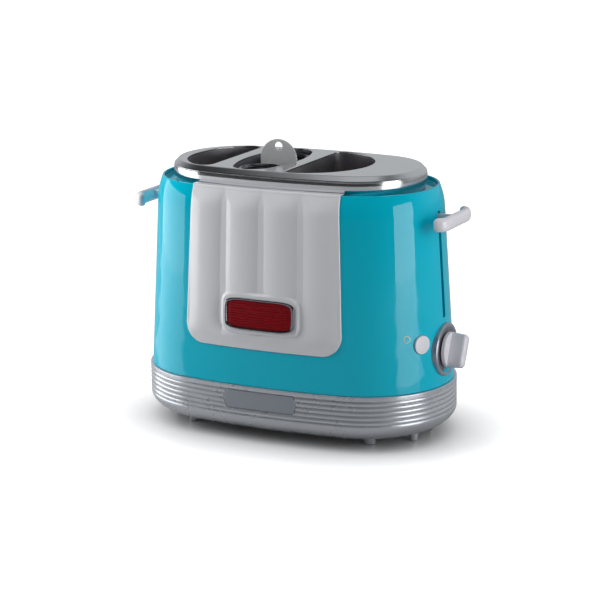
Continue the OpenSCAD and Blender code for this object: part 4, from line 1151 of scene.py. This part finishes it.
# ---------------------------------------------------------------- knob, bezel, button
def knob_bezel():
    """Turned ring with a bright rim and a shallow dish; dial marks sit in the dish."""
    low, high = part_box("knob_bezel")
    face = high.x / MM
    r, bore = 23.3, 4.7
    profile = softened([(bore, face - 3.0, 0), (bore, face - 0.9, 0.1), (19.4, face - 0.9, 0.3),
                        (20.4, face - 0.1, 0.3), (22.2, face, 0.3), (r, face - 0.9, 0.6), (r, face - 3.0, 0),
                        (r, low.x / MM, 0), (bore, low.x / MM, 0)], steps=4)
    bm = bmesh.new()
    turned(bm, profile, (0, 0, KNOB_Z), axis="X", steps=120)
    piece = finished("bezel_ring", bm, "housing", PLATE_SILVER, ["knob_bezel"], crease=40)

    def inside_shell(bm):
        rings = [plan_ring(shell_offset(z) + 0.1, z) for z in (50.5, 72.5, 92.5, 122.5)]
        add_rings(bm, rings, cap_ends=True)

    cut(piece, [cutter_from("inside_shell", inside_shell)])
    dish = bmesh.new()
    disc = [(4.75, face - 0.95), (19.3, face - 0.95), (19.3, face - 0.86), (4.75, face - 0.86)]
    turned(dish, disc, (0, 0, KNOB_Z), axis="X", steps=96)
    finished("dial_dish", dish, "housing", DISH, crease=40)
    marks = bmesh.new()
    middle = 17.6
    for k in range(11):
        a = math.radians(-150 + 30 * k)
        y, z = math.sin(a), math.cos(a)
        length = 1.9 if k % 5 == 0 else 1.1
        made = bmesh.ops.create_cube(marks, size=1.0)["verts"]
        bmesh.ops.scale(marks, vec=(0.12, 0.55, length), verts=made)
        bmesh.ops.rotate(marks, cent=(0, 0, 0), matrix=Matrix.Rotation(-a, 3, "X"), verts=made)
        bmesh.ops.translate(marks, vec=(face - 0.82, middle * y, KNOB_Z + middle * z), verts=made)
    finished("dial_marks", marks, "housing", DARK_PRINT)


def timer_knob():
    """Round base with a broad fin to turn it by."""
    turn = math.radians(-25.0)
    x0, disc, reach, r, nose = 140.1, 3.4, 157.0, 15.6, 3.0
    bm = bmesh.new()
    bore = 3.06
    base = [(bore, x0, 0), (r, x0, 0.4), (r - 0.3, x0 + disc, 1.0), (bore, x0 + disc, 0)]
    profile = softened(base, steps=5)
    turned(bm, profile, (0, 0, 0), axis="X", steps=96)
    steps_x, sides = 26, 72
    rings = []
    for k in range(steps_x + 1):
        t = k / steps_x
        x = x0 + disc - 0.6 + (reach - x0 - disc + 0.6) * t
        from_end = reach - x
        pull = 0.0
        if from_end < nose:
            pull = nose * (1 - math.sqrt(max(0.0, 1 - (1 - from_end / nose) ** 2)))
        half_long = r - 0.25 - 1.1 * t - pull
        half_thick = 6.0 - 0.9 * t - pull
        ring = []
        for i in range(sides):
            a = 2 * math.pi * i / sides
            z = half_long * signed_power(math.cos(a), 0.55)
            waist = 1 - 0.06 * math.cos(math.pi * z / (2 * r)) ** 2
            y = half_thick * signed_power(math.sin(a), 0.5) * waist
            limit = math.sqrt(max(0.0, (r - 0.2 - pull * 0.3) ** 2 - z * z)) if abs(z) < r - 0.2 else 0.0
            y = math.copysign(min(abs(y), max(limit, 0.4)), y)
            ring.append((x, y, z))
        rings.append(ring)
    add_rings(bm, rings, cap_ends=True)
    bmesh.ops.rotate(bm, cent=(0, 0, 0), matrix=Matrix.Rotation(turn, 3, "X"), verts=bm.verts)
    bmesh.ops.translate(bm, vec=(0, 0, KNOB_Z), verts=bm.verts)
    return finished("knob_with_fin", bm, "knob", HANDLE_WHITE, ["timer_knob"], crease=50)


def stop_button():
    """Flat round button with a soft edge, its flange and stem behind the shell."""
    face = END_R + shell_offset(BUTTON_Z) + 1.9
    r = BUTTON_R
    profile = softened([(0.01, face, 0), (r, face, 0.9), (r, face - 7.0, 0), (r + 1.5, face - 7.0, 0.2),
                        (r + 1.5, face - 8.75, 0.2), (2.5, face - 8.75, 0), (2.5, face - 15.25, 0.3),
                        (0.01, face - 15.25, 0)], steps=5)
    bm = bmesh.new()
    turned(bm, profile, (0, 0, 0), axis="X", steps=72)
    turn = Matrix.Rotation(math.radians(BUTTON_ANGLE), 4, "Z")
    bmesh.ops.transform(bm, matrix=Matrix.Translation((END_X, 0, BUTTON_Z)) @ turn, verts=bm.verts)
    return finished("round_button", bm, "button", HANDLE_WHITE, ["stop_button"], crease=45)


def off_mark():
    """A small printed ring beside the button."""
    angle, z, r = -37.85, 96.5, 2.8
    bm = bmesh.new()
    path = []
    for k in range(40):
        a = 2 * math.pi * k / 40
        up = z + r * math.sin(a)
        swing = math.degrees(r * math.cos(a) / (END_R + shell_offset(up)))
        path.append(at_end(angle + swing, END_R + shell_offset(up) - 0.45, up))
    tube(bm, path, 0.6, sides=10, closed=True)
    return finished("off_ring_print", bm, "housing", CREAM, crease=60)


# ---------------------------------------------------------------- basket
BASKET_X, RING_Y, RING_R = -23.5, 27.0, 19.0
RING_TOP = 230.3


def basket_rings():
    """Two drawn rings with a rolled top edge, joined to the tab."""
    bm = bmesh.new()
    low = RING_TOP - 11.5
    for s in (-1, 1):
        profile = softened([(RING_R - 2.0, low, 0.3), (RING_R, low, 0.3), (RING_R, RING_TOP - 0.7, 0.6),
                            (RING_R - 0.9, RING_TOP, 0.7), (RING_R - 2.5, RING_TOP - 2.4, 0.8)], steps=5)
        turned(bm, profile, (BASKET_X, s * RING_Y, 0), steps=112)
        y0, y1 = sorted((s * 0.8, s * (RING_Y - RING_R + 1.0)))
        round_box(bm, (BASKET_X - 6, y0, low), (BASKET_X + 6, y1, low + 2.0), 0.3)
    return finished("basket_ring_pair", bm, "basket", DARK_CHROME, ["basket_rings"], crease=40)


def basket_tab():
    """Flat tab with a round top and a round hole."""
    bm = bmesh.new()
    x, half, top, low = -19.5, 17.5, 250.8, 218.8
    hole_z, hole_r = 244.5, 3.75
    n = 64

    def outer(grow):
        ring = []
        for k in range(n):
            a = 2 * math.pi * k / n - math.pi / 2
            c, s = math.cos(a), math.sin(a)
            if s >= 0:
                ring.append((x + (half + grow) * c, top - half + (half + grow) * s))
            else:
                spread = min(1.0, abs(c) * 1.6)
                down = (top - half - low) * min(1.0, abs(s) * 1.25)
                ring.append((x + (half + grow) * math.copysign(spread, c), top - half - down - grow * abs(s)))
        return ring

    def hole(grow):
        return [(x + (hole_r - grow) * math.cos(2 * math.pi * k / n - math.pi / 2),
                 hole_z + (hole_r - grow) * math.sin(2 * math.pi * k / n - math.pi / 2)) for k in range(n)]

    half_t = 0.7
    soft = 0.25
    edge = half_t - soft
    layers = ((hole(0), -edge), (hole(-soft), -half_t), (outer(-soft), -half_t), (outer(0), -edge),
              (outer(0), edge), (outer(-soft), half_t), (hole(-soft), half_t), (hole(0), edge))
    rings = [[(px, y, pz) for px, pz in ring] for ring, y in layers]
    add_rings(bm, rings, closed_loop=True)
    return finished("lifting_tab", bm, "basket", SATIN, ["basket_tab"], crease=30)


def basket_cage(name, node, side):
    """Round wires between hoops, on a dished foot."""
    bm = bmesh.new()
    foot, top = 64.5, 218.7
    r = RING_R - 3.0
    centre = (BASKET_X, side * RING_Y, 0)
    dish = softened([(0.01, foot + 0.2, 0), (r + 1.1, foot, 0.8), (r + 1.1, foot + 2.0, 0.8),
                     (0.01, foot + 1.4, 0)], steps=4)
    turned(bm, dish, centre, steps=64)
    for k in range(1, 5):
        z = foot + k * (top - foot - 2.0) / 4 + 1.0
        tube(bm, circle(centre[0], centre[1], r, z), 1.0, sides=10, closed=True)
    for k in range(6):
        a = math.radians((k + 0.5) * 60)
        x, y = centre[0] + r * math.cos(a), centre[1] + r * math.sin(a)
        tube(bm, [(x, y, foot + 1.0), (x, y, (foot + top) / 2), (x, y, top - 1.0)], 1.0, sides=12)
    return finished(name, bm, "basket", WIRE, [node], crease=50)


# ---------------------------------------------------------------- springs
def return_springs():
    """Open coils round the guide rods."""
    bm = bmesh.new()
    low, high = 51.1, 182.8
    coil_r, wire_r, turns, steps = 3.4, 0.5, 34, 20
    a, rod_r = math.radians(25.0), 59.05
    for s in (-1, 1):
        cx, cy = s * (END_X + rod_r * math.cos(a)), rod_r * math.sin(a)
        path = []
        for k in range(turns * steps + 1):
            t = k / (turns * steps)
            b = 2 * math.pi * turns * t
            z = low + wire_r + (high - low - 2 * wire_r) * t
            path.append((cx + coil_r * math.cos(b), cy + coil_r * math.sin(b), z))
        tube(bm, path, wire_r, sides=6)
    piece = finished("return_coils", bm, "housing", SPRING, ["return_springs"], crease=80)
    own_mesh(piece)


# ---------------------------------------------------------------- build the pieces
base_tray()
name_plate()
feet()
body_shell()
panel("fluted_panel_front", "front_panel", -1)
panel("fluted_panel_rear", "rear_panel", 1)
badge_frame()
badge_insert()
top_plate()
lever("lever_handle_right", "lever_right", 1)
lever("lever_handle_left", "lever_left", -1)
knob_bezel()
timer_knob()
stop_button()
off_mark()
basket_rings()
basket_tab()
basket_cage("basket_wires_front", "basket_cage_front", -1)
basket_cage("basket_wires_rear", "basket_cage_rear", 1)
return_springs()


# ---------------------------------------------------------------- floor, lights, camera
def studio_floor():
    """Glossy white table that keeps the toaster's cast shadow; its glow for camera rays is dimmed by ambient
    occlusion near the toaster, a painted shadow under and round the base.
    """
    size = 40.0
    mesh = bpy.data.meshes.new("studio_floor")
    corners = [(-size, -size, 0), (size, -size, 0), (size, size, 0), (-size, size, 0)]
    mesh.from_pydata(corners, [], [(0, 1, 2, 3)])
    floor = bpy.data.objects.new("studio_floor", mesh)
    scene.collection.objects.link(floor)
    made, tree, shader = new_material("white_table", Roughness=0.28, Specular_IOR_Level=0.3)
    path = add_node(tree, "ShaderNodeLightPath")
    rays = {0: path.outputs["Is Camera Ray"], 1: path.outputs["Is Transmission Ray"]}
    seen = add_node(tree, "ShaderNodeMath", rays, operation="MAXIMUM")
    tinted(tree, shader, path.outputs["Is Glossy Ray"], (0.34, 0.34, 0.35), (0.50, 0.50, 0.51))
    # Painted shadow: ambient occlusion dims the table's glow under and round the toaster
    painted_shadow = add_node(tree, "ShaderNodeAmbientOcclusion", {"Distance": 0.075})
    dim = add_node(tree, "ShaderNodeMath", {0: painted_shadow.outputs["AO"], 1: 1.8}, operation="POWER")
    strength = add_node(tree, "ShaderNodeMath", {0: seen.outputs[0], 1: dim.outputs[0]}, operation="MULTIPLY")
    shader.inputs["Emission Color"].default_value = (1, 1, 1, 1)
    tree.links.new(strength.outputs[0], shader.inputs["Emission Strength"])
    mesh.materials.append(made)


def soft_box(name, azimuth, distance, bottom, width, height, radiance, look=(0, 0, 120)):
    """A rectangular lamp facing the toaster. Azimuth 0 is at the front and 90 at the knob end."""
    a = math.radians(azimuth)
    lamp = bpy.data.lights.new(name, "AREA")
    lamp.shape = "RECTANGLE"
    lamp.size, lamp.size_y = width * MM, height * MM
    lamp.energy = radiance * math.pi * lamp.size * lamp.size_y
    made = bpy.data.objects.new(name, lamp)
    scene.collection.objects.link(made)
    made.location = Vector((distance * math.sin(a), -distance * math.cos(a), bottom + height / 2)) * MM
    aim = made.location - Vector(look) * MM
    made.rotation_euler = aim.to_track_quat("Z", "Y").to_euler()
    return made


def floor_card(name, azimuth, near, far, width, radiance):
    """A faint lamp that lies on the table and faces up, as the table's glow under a soft box."""
    middle = (near + far) / 2
    made = soft_box(name, azimuth, middle, 1.5, width, far - near, radiance)
    made.location.z = 1.5 * MM
    made.rotation_euler = Matrix.Rotation(math.radians(azimuth), 3, "Z").to_euler()
    made.rotation_euler.rotate_axis("X", math.pi)
    return made


def studio_world():
    """White behind and above, dim in front, as in a small studio; the camera sees plain white."""
    world = bpy.data.worlds.new("studio_world")
    scene.world = world
    world.use_nodes = True
    tree = world.node_tree
    background = next(n for n in tree.nodes if n.type == "BACKGROUND")
    place = add_node(tree, "ShaderNodeTexCoord").outputs["Generated"]
    parts = add_node(tree, "ShaderNodeSeparateXYZ", {"Vector": place})
    depth = add_node(tree, "ShaderNodeMapRange", {
        "Value": parts.outputs["Y"], "From Min": -0.1, "From Max": 0.75, "To Min": 0.04, "To Max": 0.5},
        interpolation_type="SMOOTHSTEP")
    up = add_node(tree, "ShaderNodeMapRange", {
        "Value": parts.outputs["Z"], "From Min": 0.75, "From Max": 0.98, "To Min": 0.0, "To Max": 0.35},
        interpolation_type="SMOOTHSTEP")
    level = add_node(tree, "ShaderNodeMath", {0: depth.outputs["Result"], 1: up.outputs["Result"]},
                     operation="MAXIMUM")
    path = add_node(tree, "ShaderNodeLightPath")
    shown = add_node(tree, "ShaderNodeMath", {0: path.outputs["Is Camera Ray"], 1: level.outputs[0]},
                     operation="MAXIMUM")
    tree.links.new(shown.outputs[0], background.inputs["Strength"])
    background.inputs["Color"].default_value = (0.95, 0.98, 1.0, 1)


studio_floor()
soft_box("soft_box_right", 80, 1200, 0, 640, 520, 3.6, look=(0, 0, 200))
soft_box("soft_box_left", -77, 1000, 0, 960, 360, 2.4, look=(0, 0, 180))
key = soft_box("key_left", -68, 1300, 500, 1200, 1100, 5.6)
key.visible_glossy = False
soft_box("overhead", 20, 300, 1500, 1500, 900, 0.15)
fill = soft_box("fill_right", 78, 1300, 250, 1000, 900, 1.8)
fill.visible_glossy = False
# The cards widen towards the soft box that they belong to, as seen from the toaster
for card, box_azimuth, reach, box_width, radiance, edges in (
        ("floor_card_right", 80, 1200, 640, 1.2, (430, 600, 850, 1200)),
        ("floor_card_left", -77, 1000, 960, 0.7, (320, 500, 720, 1000))):
    for near, far in zip(edges, edges[1:]):
        floor_card(card, box_azimuth, near, far, box_width * (near + far) / 2 / reach, radiance)
studio_world()

# Camera: the photograph's viewing angle, from its fit
VIEW_AZIMUTH, VIEW_ELEVATION, VIEW_ROLL = 27.0726, 13.8629, -0.8341
VIEW_TARGET = Vector((-7.4796, -11.8404, 110.0751))
VIEW_DISTANCE = 1929.0
FOCAL_PIXELS, FRAME_PIXELS = 2202.5, 600.0
AXIS_SHIFT_X, AXIS_SHIFT_Y = 12.86, 0.64
azimuth, elevation = math.radians(VIEW_AZIMUTH), math.radians(VIEW_ELEVATION)
level_share = math.cos(elevation)
backward = Vector((math.sin(azimuth) * level_share, -math.cos(azimuth) * level_share, math.sin(elevation)))
camera_data = bpy.data.cameras.new("camera")
camera_data.sensor_width = 36.0
camera_data.lens = camera_data.sensor_width * FOCAL_PIXELS / FRAME_PIXELS
camera_data.shift_x = AXIS_SHIFT_X / FRAME_PIXELS
camera_data.shift_y = AXIS_SHIFT_Y / FRAME_PIXELS
camera = bpy.data.objects.new("camera", camera_data)
scene.collection.objects.link(camera)
camera.location = (VIEW_TARGET + backward * VIEW_DISTANCE) * MM
facing = backward.to_track_quat("Z", "Y").to_matrix() @ Matrix.Rotation(math.radians(VIEW_ROLL), 3, "Z")
camera.rotation_euler = facing.to_euler()
scene.camera = camera
scene.view_settings.view_transform = "Standard"
